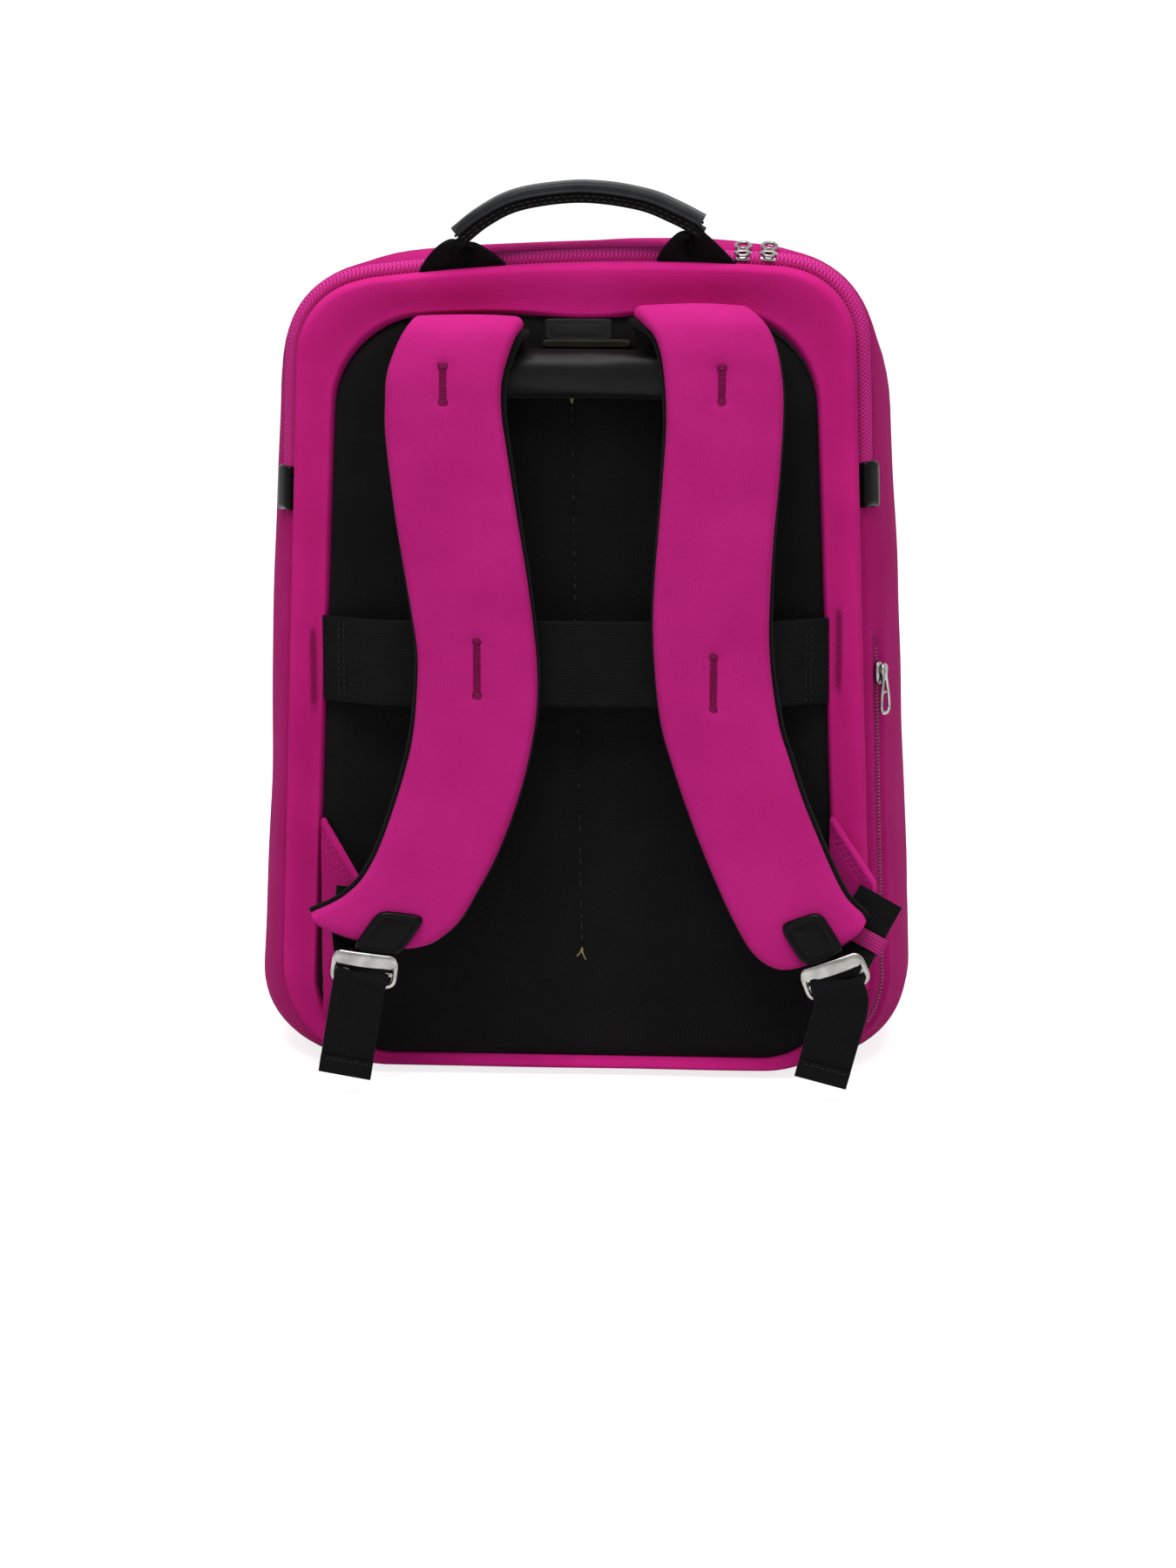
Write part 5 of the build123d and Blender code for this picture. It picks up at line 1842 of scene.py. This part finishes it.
@dataclass
class ShoulderStrap(Assembly):
    """A padded strap: cover over foam, dark liner behind it, sewn slots, leather tab, buckle and tail."""
    shape: StrapShape
    count: int = 170
    cover_t: float = 7.4
    liner_t: float = 2.6
    buckle: tuple = (17.0, 31.0)  # length down the strap, and width
    tail_width: float = 24.6
    tab_size: tuple = (23.0, 20.4)
    tab_y: float = -127.9
    tab_end: float = 11.0  # from the tab's middle to its end
    gap: float = 1.1  # from there to the buckle
    tilt: float = 0.088  # how far forward the tab's face goes for each millimetre up

    def __post_init__(self) -> None:
        """Works out both edges, the outward direction and the strap's body name."""
        root = [[(x[k], y, z) for x, (y, z) in zip(self.shape.root, self.shape.side_line()[:3])] for k in (0, 1)]
        rows = np.asarray(self.shape.stations, float)
        y = [self.shape.face_y(rows[:, k]) for k in (1, 3)]
        spine = np.vstack([root[0], np.stack([rows[:, 0], y[0], rows[:, 1]], axis=1)])
        arm = np.vstack([root[1], np.stack([rows[:, 2], y[1], rows[:, 3]], axis=1)])
        self.spine, self.arm = (through(e, self.count, even=False) for e in (spine, arm))
        self.middle = (self.spine + self.arm) / 2
        self.across = unit(self.arm - self.spine)
        along = unit(np.gradient(self.middle, axis=0))
        self.out = unit(np.cross(along, self.across))
        self.out *= -np.sign(self.out[-1, 1])
        self.body = f"strap_{self.shape.side.word}"

    def slab(self, top: float, thick: float, spine: Array, arm: Array, radius: float, crown: float) -> Array:
        """A layer between two edges widened by spine and arm, from top below the face to top + thick below it.

        Args:
            top: the layer's upper face, below the strap's.
            thick: its thickness.
            spine: how far it goes beyond the spine edge, per point.
            arm: how far it goes beyond the arm edge, per point.
            radius: the radius of its edges.
            crown: how far its face rises at the middle.

        Returns:
            Points (count, m, 3).
        """
        width = np.linalg.norm(self.arm - self.spine, axis=1) + spine + arm
        middle = self.middle + self.across * ((arm - spine) / 2)[:, None] - self.out * (top + thick / 2)
        section = soft_bar(width, thick, radius, crown, flat=14, turn=7)
        return (middle[:, None] + self.across[:, None] * section[..., :1]
                + self.out[:, None] * section[..., 1:])

    def padding(self) -> None:
        """Cover and liner, with soft puckers where the strap bends over the shoulder and round its curve."""
        word, flip = self.shape.side.word, self.shape.side is Side.RIGHT
        none = np.zeros(self.count)
        p = self.slab(0.0, self.cover_t, none, none, 3.6, 1.1)
        pucker = 0.5 * waves(p, 38, 21) + 0.35 * waves(p * [1, 1, 2.4], 44, 22)
        bent = 0.35 + 0.9 * np.exp(-(((self.middle[:, 2] - 352) / 16) ** 2))
        p = p + self.out[:, None] * (pucker * bent[:, None])[..., None] * 0.6
        for x, low, high in self.shape.slots:
            gap = np.hypot(p[..., 0] - x, np.maximum(np.maximum(low - p[..., 2], p[..., 2] - high), 0))
            face = p[..., 1] < self.middle[:, None, 1] - 0.2
            p[..., 1] += np.where(face, 1.7 * np.exp(-((gap / 2.9) ** 2)), 0.0)
        piece = closed_form(f"strap_padding_{word}", p, flip=flip)
        # The strap's cover takes the lighter copy of the shell's jersey, which is painted light.
        settle(piece, self.finishes.strap, Slot.SHELL, self.body, f"strap_cover_{word}", f"strap_foam_{word}", fill=0.6)
        run = np.linspace(0, 1, self.count)
        shown = [np.interp(run, [0, 0.1, 0.34, 0.55, 1], [e[0], e[0], e[1], e[2], e[2]])
                 for e in (self.shape.liner_spine, self.shape.liner_arm)]
        layer = self.slab(self.cover_t - 2.0, self.liner_t + 1.0, *shown, 1.5, 0.0)
        liner = closed_form(f"strap_lining_{word}", layer, flip=flip)
        settle(liner, self.finishes.knit, Slot.PAD, self.body, f"strap_liner_{word}")

    def slots(self) -> None:
        """Sewn slots: a ladder of dense bar-tack thread over the slit, closed by a longer bar at both ends."""
        parts = []
        for x, low, high in self.shape.slots:
            ends = np.concatenate([np.arange(-1.8, 0.1, 0.6) + low, np.arange(0.0, 1.9, 0.6) + high])
            for z, lift, length, thick in ((np.arange(low, high, 0.75), 0.3, 3.4, 0.62), (ends, 0.4, 4.6, 0.8)):
                spots = np.stack([x + 0 * z, self.shape.face_y(z) - lift, z], axis=1)
                parts.append(bars("slot", spots, (1, 0, 0), length, thick))
        settle(joined(f"strap_slots_{self.shape.side.word}", parts), self.finishes.thread_deep, Slot.SHELL, self.body)

    def tab_axes(self) -> tuple[Array, Array, Array, Array]:
        """The leather tab's middle, the buckle's middle, and their down and outward directions.

        Returns:
            Two points and two directions.
        """
        (x, z), (right, up) = self.shape.tab
        down = unit(np.array([right, self.tilt * up, up]))
        face = unit(np.array([0.0, -1.0, -self.tilt]))
        middle = np.array([x, self.tab_y, z])
        return middle, middle + down * (self.tab_end + self.gap + self.buckle[0] / 2), down, face

    def leather_tab(self) -> None:
        """Leather tab: a raised rim, a pressed line inside it and a shallow panel."""
        middle, _, down, face = self.tab_axes()
        steps = [(0.4, -1.4), (0.0, -0.6), (0.1, 0.7), (0.7, 1.7), (1.6, 2.0), (2.4, 1.8), (3.1, 1.25), (3.8, 1.5),
                 (6.0, 1.75)]
        tab = plaque(f"leather_tab_{self.shape.side.word}", middle + down * 0.3, down, np.cross(face, down),
                     self.tab_size, steps, 5.0, self.shape.skew, 72)
        settle(tab, self.finishes.gloss, Slot.LEATHER, self.body, f"strap_tab_{self.shape.side.word}")

    def buckle_casting(self) -> None:
        """Buckle: a rounded frame, a middle bar, and a bright arched plate beside the tab."""
        _, centre, down, face = self.tab_axes()
        length, width = self.buckle
        centre = centre + face * 0.1
        across = unit(np.cross(face, down) + self.shape.skew * down)
        down = np.cross(across, face)
        t = np.linspace(0, 2 * math.pi, 64, endpoint=False)
        u = squared_off(np.cos(t), 0.4) * (length / 2 - 1.2)
        v = squared_off(np.sin(t), 0.4) * (width / 2 - 1.3)
        bow = 1.6 * (1 - (v / (width / 2)) ** 2)
        ring = centre + down * u[:, None] + across * v[:, None] + face * (bow * np.clip(-u / 8, 0, 1))[:, None]
        parts = [hoop("rim", ring, face, soft_bar(2.6, 3.0, 1.1, flat=3, turn=4))]
        s = np.linspace(-1, 1, 25)
        side = across * (s * (width / 2 - 1.2))[:, None]
        parts.append(band("bar", centre + down * 1.2 + side, face, 2.6, 2.2, 1.0))
        arch = centre - down * (length / 2 - 3.4) + side + face * (0.9 + 1.5 * (1 - s**2))[:, None]
        section = soft_bar(np.interp(np.abs(s), [0, 0.85, 1], [7.4, 7.0, 4.4]), 1.5, 0.7, 0.7, flat=6)
        parts.append(closed_form("arch", carried(arch, face, section)))
        word = self.shape.side.word
        piece = joined(f"buckle_casting_{word}", parts)
        settle(piece, self.finishes.metal, Slot.METAL, f"buckle_{word}", f"buckle_{word}")

    def tail_webbing(self) -> None:
        """Webbing tail: out of the buckle over its bar, then hanging to a turned and stitched end."""
        _, centre, down, face = self.tab_axes()
        (hx, hz), (fx, fz) = self.shape.tail
        y = centre[1] - 3.4
        over = centre + down * 1.2 + face * 2.0
        line = through([centre + down * 5.2 - face * 2.4, centre + down * 3.6 + face * 0.5, over,
                        (hx * 0.35 + over[0] * 0.65, y - 0.9, hz * 0.35 + over[2] * 0.65), (hx, y, hz),
                        ((hx + fx) / 2, y - 0.8, (hz + fz) / 2), (fx, y + 0.5, fz)], 90)
        run = np.gradient(line, axis=0)
        out = np.array([0.0, -1.0, 0.0]) + 0.001 * np.cross(run, np.cross([0, -1, 0], run))
        tail = band("tail", line, out, self.tail_width, 1.6)
        fold = band("fold", line[-14:] - np.array([0, 1.25, 0]), (0, -1, 0), self.tail_width, 1.3)
        across = frames_along(line, out)[1][-12]
        row_at = line[-12] - [0, 2.1, 0] + across * np.linspace(-11, 11, 20)[:, None]
        sewn = stitches("sewn", row_at, (0, -1, 0), 2.6, 1.8, 0.5)
        word = self.shape.side.word
        piece = joined(f"tail_webbing_{word}", [tail, fold])
        settle(piece, self.finishes.webbing, Slot.WEBBING, f"buckle_{word}", f"tail_{word}")
        sewn.name = f"tail_stitches_{word}"
        settle(sewn, self.finishes.thread_black, Slot.WEBBING, f"buckle_{word}")

    stages = (padding, slots, leather_tab, buckle_casting, tail_webbing)


@dataclass
class Wing(Assembly):
    """Padded wing in a side seam, its webbing to the buckle and the elastic keeper on it."""
    side: Side
    seam: tuple  # x, y, z
    reach: float
    web: tuple  # start, bend and end of the webbing
    web_across: tuple  # across it at its start and at its end
    head: float = 55.0
    foot: float = -42.0
    apex: float = 24.0
    thick: float = 4.2
    web_width: float = 22.6
    keeper: tuple = (12.6, 2.2)  # half width and half height
    keeper_at: float = 0.86  # the keeper's place on the way from the webbing's start to its bend

    def padding(self) -> None:
        """Triangle drawn out from the seam: u runs down the seam, v runs out to the apex, pillowed in between.

        The outer edge at u is the straight line from the head or the foot to the rounded apex.
        """
        seam, up = np.array(self.seam), np.array([0, 0, 1.0])
        out = unit(np.array([0.85, -0.53, 0.0]))
        face = np.cross(out, up)
        face = face * np.sign(-face[1])
        u = np.linspace(0, 1, 61)
        z = self.head + (self.foot - self.head) * u
        peak = np.interp(z, [self.foot, self.apex - 9, self.apex + 3, self.head], [0, self.reach - 2, self.reach, 0])
        peak = np.convolve(np.pad(peak, 1, mode="edge"), np.ones(3) / 3, "valid") + 0.4
        v = np.linspace(0, 1, 21)
        t = np.concatenate([v, v[::-1]])  # out over the face and back over the rear
        level = np.concatenate([1 + 0 * v, -1 + 0 * v])
        run = peak[:, None] * t[None]
        edge = np.minimum(peak[:, None] * (1 - t[None]), np.minimum(z[:1] - z, z - z[-1])[:, None] + 0.4)
        half = self.thick / 2 * (1 - (1 - np.clip(edge / 2.4, 0, 1)) ** 2) ** 0.5
        groove = 0.45 * np.exp(-(((edge - 4.2) / 0.8) ** 2)) + 0.45 * np.exp(-(((edge - 7.0) / 0.8) ** 2))
        p = (seam + out * (run - 1.4 * (1 - t[None]))[..., None] + up * z[:, None, None]
             + face * ((half - groove) * level[None])[..., None])
        p = p - face * ((1 - t[None]) ** 2 * 1.5)[..., None] * 0.6
        piece = closed_form(f"wing_padding_{self.side.word}", p)
        settle(piece, self.finishes.shell, Slot.SHELL, "shell", f"wing_{self.side.word}", fill=0.4)
        rows = []
        for inset in (4.2, 7.0):
            keep = peak > inset + 1.5
            line = (seam + out * (peak - inset)[:, None] + up * z[:, None] + face * (self.thick / 2 - 0.2))[keep]
            rows.append(stitches(f"row_{inset}", line, face, 3.2, 2.2, 0.5))
        settle(joined(f"wing_stitches_{self.side.word}", rows), self.finishes.thread_pink, Slot.SHELL, "shell")

    def webbing(self) -> None:
        """Webbing from the wing to the buckle, and the elastic keeper round it."""
        start, bend, end = (np.array(p, float) for p in self.web)
        line = through([start, start * 0.5 + bend * 0.5 + [0, 0.6, 0], bend, end], 80)
        s = np.linspace(0, 1, 80)[:, None]
        first, last = (np.array(way) for way in self.web_across)
        across = unit(first * (1 - s) + last * s)
        out = np.cross(unit(np.gradient(line, axis=0)), across)
        out = out * np.sign(-out[:, 1:2])
        word = self.side.word
        piece = band(f"wing_webbing_strip_{word}", line, out, self.web_width, 1.7, 0.75)
        turn = Bend("shell", f"strap_{word}", tuple(start), tuple(end))
        settle(piece, self.finishes.webbing, Slot.WEBBING, turn, f"wing_webbing_{word}")
        k = int(np.argmin(np.linalg.norm(line - (start + (bend - start) * self.keeper_at), axis=1)))
        t = np.linspace(0, 2 * math.pi, 60, endpoint=False)
        cross = frames_along(line, out)[1][k]
        wide, high = self.keeper
        loop = (line[k] + cross * (squared_off(np.cos(t), 0.35) * wide)[:, None]
                + out[k] * (squared_off(np.sin(t), 0.6) * high)[:, None])
        radial = unit(loop - line[k] - np.sum((loop - line[k]) * cross, axis=1, keepdims=True) * cross * 0.8)
        keeper = hoop(f"elastic_keeper_{word}", loop, radial, soft_bar(8.2, 1.3, 0.6))
        settle(keeper, self.finishes.elastic, Slot.ELASTIC, "shell", f"keeper_{word}")

    stages = (padding, webbing)


# ------------------------------------------------------------------ handle
@dataclass(frozen=True)
class HandleEnd:
    """Where one end of the handle is sewn down, and the curved edges of its fold, as x and z."""
    side: Side
    head: tuple  # under the grip's end
    foot: tuple  # far and near end of the sewn line
    far_bow: tuple  # how far the far and the near edge bow out, as x and z
    near_bow: tuple


LEFT_END = HandleEnd(Side.LEFT, (-52.6, 392.4), ((-71.4, 377.3), (-32.0, 381.4)), (-4.6, 2.6), (2.0, 1.6))
RIGHT_END = HandleEnd(Side.RIGHT, (56.2, 397.6), ((73.8, 381.6), (37.5, 383.4)), (1.2, 1.4), (-3.4, 2.2))


@dataclass
class CarryHandle(Assembly):
    """Leather-wrapped grip on webbing, which folds down to its two anchors."""
    line: tuple = ((-52.5, 389.4), (-40, 399.2), (-24, 406.9), (2.3, 410.4), (28, 407.4), (44, 401.4), (57.5, 394.4))
    y: float = -81.0
    web_t: float = 4.6
    web_w: float = 20.4
    grip_t: float = 4.7
    grip_w: float = 22.0
    ends: tuple = (LEFT_END, RIGHT_END)

    def middle(self, lift: float, count: int = 120, trim: float = 0.0) -> Array:
        """The handle's curve at a height above its underside.

        Args:
            lift: the height.
            count: points on the whole curve.
            trim: the share left off at each end.

        Returns:
            Points (n, 3).
        """
        line = through([(x, self.y, z) for x, z in self.line], count)
        up = np.cross(unit(np.gradient(line, axis=0)), [0, 1, 0])
        return (line + up * lift)[int(count * trim):count - int(count * trim)]

    def grip(self) -> None:
        """Grip: a rounded bar that flares a little at its flat cut ends, bound along both lower edges."""
        line = self.middle(self.web_t + self.grip_t / 2, trim=0.03)
        section = soft_bar(self.grip_w, self.grip_t, 1.9, 0.9, flat=16, turn=7)
        s = np.abs(np.linspace(-1, 1, len(line)))[:, None, None]
        section = section * (1 + 0.05 * smooth((s - 0.95) / 0.05))
        p = carried(line, (0, 0, 1), section)
        p[..., 2] += 0.15 * waves(p, 30, 13)
        piece = closed_form("grip_wrap", p)
        settle(piece, self.finishes.grip, Slot.GRIP, "handle", "handle_grip", fill=0.7)
        rim = []
        for side in (-1, 1):
            edge = line + [0, side * (self.grip_w / 2 - 0.3), 0] + [0, 0, 0.8 - self.grip_t / 2]
            rim.append(band(f"rim_{side}", edge, (0, side, 0), 1.3, 1.2, 0.5))
        settle(joined("grip_edge_binding", rim), self.finishes.grip, Slot.GRIP, "handle")

    def webbing(self) -> None:
        """Webbing under the grip with two rows of stitches on each edge, and the folds down to the anchors."""
        line = self.middle(self.web_t / 2)
        parts = [closed_form("under", carried(line, (0, 0, 1), soft_bar(self.web_w, self.web_t, 1.0, flat=12)))]
        for end in self.ends:
            parts += [self.fold(end, outer) for outer in (True, False)]
        settle(joined("handle_webbing_folded", parts), self.finishes.webbing, Slot.WEBBING, "handle", "handle_webbing")
        rows = []
        for level in (1.3, 3.2):
            for face in (-1, 1):
                seam = self.middle(level, trim=0.03) + [0, face * (self.web_w / 2 + 0.2), 0]
                rows.append(stitches(f"row_{level}_{face}", seam, (0, face, 0), 3.4, 2.4, 0.6))
        settle(joined("handle_stitches", rows), self.finishes.thread_black, Slot.WEBBING, "handle")

    def fold(self, end: HandleEnd, outer: bool) -> Piece:
        """One ribbon of the fold at an anchor, twisted by a quarter turn.

        It is ruled between the handle's width at its head, which runs along Y, and half of the sewn line at its foot,
        which runs along X; the edges bow by sin(pi v), and a crease of sin(2 pi u) runs down it. The outer ribbon
        starts in front and ends at the far half of the line; the inner one starts behind and ends at the near half.

        Args:
            end: which end of the handle.
            outer: the outer ribbon, or the inner one.

        Returns:
            The ribbon.
        """
        u, v = np.linspace(0, 1, 26)[:, None, None], np.linspace(0, 1, 22)[None, :, None]
        (far_x, far_z), (near_x, near_z) = end.foot
        sign = end.side.value
        front_y, rear_y = (-91.2, -80.0) if outer else (-90.2, -72.0)
        shift = 0.0 if outer else -sign * 3.2
        x, z = end.head[0] + shift, end.head[1] - abs(shift) * 0.3
        head = np.array([[x, front_y, z], [x - sign * 3.0, rear_y, z - 1.0]])
        share = np.array([0.0, 0.72] if outer else [1.0, 0.18])
        foot = np.stack([far_x + (near_x - far_x) * share, [-82.6, -81.4], far_z + (near_z - far_z) * share],
                        axis=1)
        start = head[0] + (head[1] - head[0]) * u
        stop = foot[0] + (foot[1] - foot[0]) * u
        bow = np.array(end.far_bow if outer else end.near_bow)
        wave = np.sin(v * math.pi)
        p = start + (stop - start) * smooth(v * 0.5 + 0.5 * v * v)
        p[..., 0] += (bow[0] * wave * (1 - u))[..., 0]
        p[..., 2] += (bow[1] * wave * (1 - u))[..., 0]
        p[..., 1] -= (1.5 * wave * np.sin(u * 2 * math.pi))[..., 0]
        normal = unit(np.cross(np.gradient(p, axis=0), np.gradient(p, axis=1))) * 0.8
        return closed_form("fold", np.concatenate([p + normal, (p - normal)[:, ::-1]], axis=1))

    def anchor_plates(self) -> None:
        """Webbing anchors: the sewn foot of each end, let into the back seam, with two rows of stitches."""
        for end in self.ends:
            (far_x, far_z), (near_x, near_z) = end.foot
            way = np.array([near_x - far_x, 0, near_z - far_z])
            middle = np.array([(far_x + near_x) / 2, self.y - 0.4, (far_z + near_z) / 2])
            down = np.array([0, 0.1, -1.0])
            line = middle + down * np.linspace(-1.5, 6.5, 12)[:, None]
            word = end.side.word
            plate = band(f"handle_anchor_webbing_{word}", line, (0, -1, 0), float(np.linalg.norm(way)), 2.0)
            settle(plate, self.finishes.webbing, Slot.WEBBING, "shell", f"handle_anchor_{word}")
            rows = []
            for drop in (0.6, 2.8):
                seam = middle + way * np.linspace(-0.47, 0.47, 40)[:, None] + down * drop + [0, -1.15, 0]
                rows.append(stitches(f"row_{drop}", seam, (0, -1, 0), 3.0, 2.1, 0.5))
            settle(joined(f"anchor_stitches_{word}", rows), self.finishes.thread_black, Slot.WEBBING, "shell")

    stages = (grip, webbing, anchor_plates)


# ------------------------------------------------------------------ inside
@dataclass
class Interior(Assembly):
    """What shows when the mouth is open: padded laptop sleeve, organiser divider, pocket bags and boards."""
    sleeve: tuple = (128.5, -77.2, -58.0, 255.0)  # half width, back, front, top
    divider: tuple = (49.0, 190.0, 140.0)  # how far forward, top, half width

    def room(self, y: float, z: Array, limit: float, clear: float) -> Array:
        """Half width that is free inside the body.

        Args:
            y: how far forward.
            z: the heights.
            limit: the most that is wanted.
            clear: the gap to leave to the body's face.

        Returns:
            A half width per height.
        """
        row = SKIN[int(round((y - REAR_Y) / BODY.step)), 1:AROUND // 2]
        order = np.argsort(row[:, 2], kind="stable")
        return np.minimum(limit, np.interp(z, row[order, 2], row[order, 0]) - clear)

    def panel(self, name: str, y: float, half: float, top: float, thick: float, returns: float) -> Piece:
        """A padded panel across the body whose sides turn back toward the wearer, closed all round.

        Args:
            name: the piece's name.
            y: how far forward its face is.
            half: its half width where the body leaves room.
            top: its height.
            thick: its thickness.
            returns: how far its sides turn back.

        Returns:
            The object.
        """
        arc = np.linspace(0.2, math.pi / 2, 6)
        z = np.concatenate([np.linspace(6, top - 4, 60), top - 4 + 4 * np.sin(arc)])
        thin = np.concatenate([np.ones(60), np.cos(arc) * 0.96 + 0.04])
        u = np.linspace(-1, 1, 81)
        turn = smooth((np.abs(u) - 0.86) / 0.14)
        wide = self.room(y - returns, z, half, 5.5)[:, None] * (np.sign(u) * np.clip(np.abs(u) / 0.9, 0, 1))[None]
        soft = 0.7 * np.sin(np.abs(u) * 9)[None] * smooth((z - 20) / 60)[:, None] * (1 - turn)[None]
        front = np.stack([wide, y - returns * turn[None] + soft - (1 - thin)[:, None] * thick / 2,
                          np.broadcast_to(z[:, None], wide.shape)], axis=-1)
        inner = front.copy()
        inner[..., 0] -= np.sign(u)[None] * thick * turn[None] * thin[:, None]
        inner[..., 1] -= thick * thin[:, None] * (1 - 0.8 * turn)[None]
        return closed_form(name, np.concatenate([front, inner[:, ::-1]], axis=1))

    def pockets(self) -> None:
        """The sleeve and the divider, with their bound tops."""
        half, back, front, top = self.sleeve
        y, height, wide = self.divider
        sleeve = self.panel("laptop_sleeve_padding", front, half, top, 3.2, front - back)
        settle(sleeve, self.finishes.lining, Slot.LINING, "shell", "laptop_sleeve", fill=0.4)
        divider = self.panel("organiser_divider_panel", y, wide, height, 2.4, 0.0)
        settle(divider, self.finishes.lining, Slot.LINING, "shell", "organiser_divider", fill=0.3)
        bindings = []
        for level, at, limit in ((top, front - 1.6, half - 8), (height, y - 1.2, wide)):
            reach = float(self.room(at, np.array([level]), limit, 6.0)[0])
            x = np.linspace(-reach, reach, 60)
            line = np.stack([x, at + 0 * x, level - 2.6 + 0 * x], axis=1)
            bindings.append(band("binding", line, (0, 1, 0), 8.0, 4.6, 1.6))
        settle(joined("pocket_top_bindings", bindings), self.finishes.webbing, Slot.LINING, "shell")

    def hidden(self) -> None:
        """Dresses the boards and the pocket bags, which stay as the frame has them."""
        for name, along in (("back_board", None), ("base_board", None), ("side_pocket_bag", (0, 1, 0)),
                            ("front_pocket_bag", (1, 0, 0))):
            node = frame["nodes"][name]
            node.data.materials.clear()
            node.data.materials.append(self.finishes.lining if along else self.finishes.board)
            if along:
                with_plane_uv(node, along, (0, 0, 1))
        log.info("inside is dressed")

    stages = (pockets, hidden)


# ------------------------------------------------------------------ studio
def placed(name: str, data: bpy.types.ID, place: tuple, right: Array, back: Array) -> Piece:
    """Puts a lamp or a camera into the scene.

    Args:
        name: the object's name.
        data: the lamp or the camera.
        place: where it is, in metres.
        right: its own +X.
        back: the way it looks away from.

    Returns:
        The object.
    """
    made = bpy.data.objects.new(name, data)
    basis = np.eye(4)
    basis[:3] = np.stack([right, np.cross(back, right), back, place], axis=1)
    made.matrix_world = basis.T
    bpy.context.scene.collection.objects.link(made)
    return made


@dataclass
class Studio:
    """Pale floor and backdrop, soft lamps, and the camera; places are in metres."""
    eye: tuple = (0.1311, -1.9704, 0.5073)
    azimuth: float = 3.8  # degrees that the camera is turned to the left
    pitch: float = 11.0  # degrees that it looks down
    lens: float = 94.24
    sensor: float = 36.0

    def backdrop(self) -> None:
        """A floor that is white to the camera and to reflections, but keeps the object's shadow."""
        g = Graph("matte_white_floor")
        glow = g.add("Math", (g.seen(), 0.8), operation="MULTIPLY")
        material = g.done(linear("#D8D8D8"), roughness=0.95, specular_ior_level=0.0,
                          emission_color=(1, 1, 1, 1), emission_strength=glow)
        x = np.linspace(-7, 7, 60)
        run = np.linspace(0, 1, 70)
        level = 0.6  # the share of the run that is floor, before it sweeps up
        y = np.interp(run, [0, level, 1], [-7, 3.5, 6.0])
        z = np.where(run > level, 5.0 * ((run - level) / 0.4) ** 2.2, 0.0)
        p = np.stack(np.broadcast_arrays(x[:, None], y[None], z[None]), axis=-1) / MM
        floor = grid_object("floor_sweep", p)
        floor.data.materials.append(material)

    def world(self) -> None:
        """Soft grey light from all round; white where the camera or a reflection sees it."""
        world = bpy.data.worlds.new("studio")
        bpy.context.scene.world = world
        world.use_nodes = True
        nodes = Nodes(world.node_tree)
        strength = nodes.add("MapRange", {0: nodes.seen(), 3: 0.3, 4: 1.0})
        background = next(n for n in nodes.tree.nodes if n.type == "BACKGROUND")
        nodes.feed(background, {"Color": (1, 1, 1, 1), "Strength": strength})

    def lamp(self, name: str, place: tuple, aim: tuple, size: float, power: float) -> None:
        """A square soft lamp that faces a point.

        Args:
            name: the lamp's name.
            place: where it is, in metres.
            aim: the point that it faces, in metres.
            size: its side, in metres.
            power: its power in watts.
        """
        light = bpy.data.lights.new(name, "AREA")
        light.energy, light.size = power, size
        back = unit(np.array(place) - np.array(aim))
        placed(name, light, place, unit(np.cross([0, 0, 1] if abs(back[2]) < 0.95 else [0, 1, 0], back)), back)

    def camera(self) -> None:
        """Camera, not rolled, looking a little down and a little to the left."""
        data = bpy.data.cameras.new("camera")
        data.lens, data.sensor_fit = self.lens, "VERTICAL"
        data.sensor_width = data.sensor_height = self.sensor
        turn, tip = math.radians(self.azimuth), math.radians(self.pitch)
        ahead = np.array([-math.sin(turn) * math.cos(tip), math.cos(turn) * math.cos(tip), -math.sin(tip)])
        bpy.context.scene.camera = placed("camera", data, self.eye, unit(np.cross(ahead, [0, 0, 1])), -ahead)

    def build(self) -> None:
        """Sets the studio up."""
        bpy.context.scene.view_settings.view_transform = "Standard"
        self.backdrop()
        self.world()
        self.lamp("key", (-0.45, -1.1, 2.2), (0, 0, 0.2), 1.0, 19.0)
        self.lamp("top", (0.1, -0.5, 2.1), (0, 0, 0.2), 1.7, 35.0)
        self.lamp("fill", (1.5, -1.2, 0.9), (0, 0, 0.2), 1.2, 1.2)
        self.camera()


# ------------------------------------------------------------------ the pack
def main() -> None:
    """Builds the pack's sub-assemblies in order inside the studio."""
    logging.basicConfig(level=logging.INFO, format="%(name)s: %(message)s")
    Studio().build()
    finishes = Finishes()
    BodyShell(finishes).build()
    PaddedBack(finishes).build()
    Zips(finishes).build()
    for shape in (LEFT_STRAP, RIGHT_STRAP):
        ShoulderStrap(finishes, shape).build()
    Wing(finishes, Side.LEFT, (-118.0, -90.6, 68.0), 22.0,
         ((-99.5, -105.5, 93.5), (-101.0, -111.0, 73.0), (-97.5, -124.0, 57.0)),
         ((0.97, 0.0, -0.22), (0.98, 0.0, -0.17))).build()
    Wing(finishes, Side.RIGHT, (121.0, -92.6, 72.0), 24.0,
         ((143.6, -108.8, 93.5), (132.0, -114.6, 73.0), (123.5, -124.6, 57.0)),
         ((0.66, 0.0, -0.75), (0.94, 0.0, 0.34))).build()
    CarryHandle(finishes).build()
    Interior(finishes).build()
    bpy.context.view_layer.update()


if __name__ == "__main__":
    main()
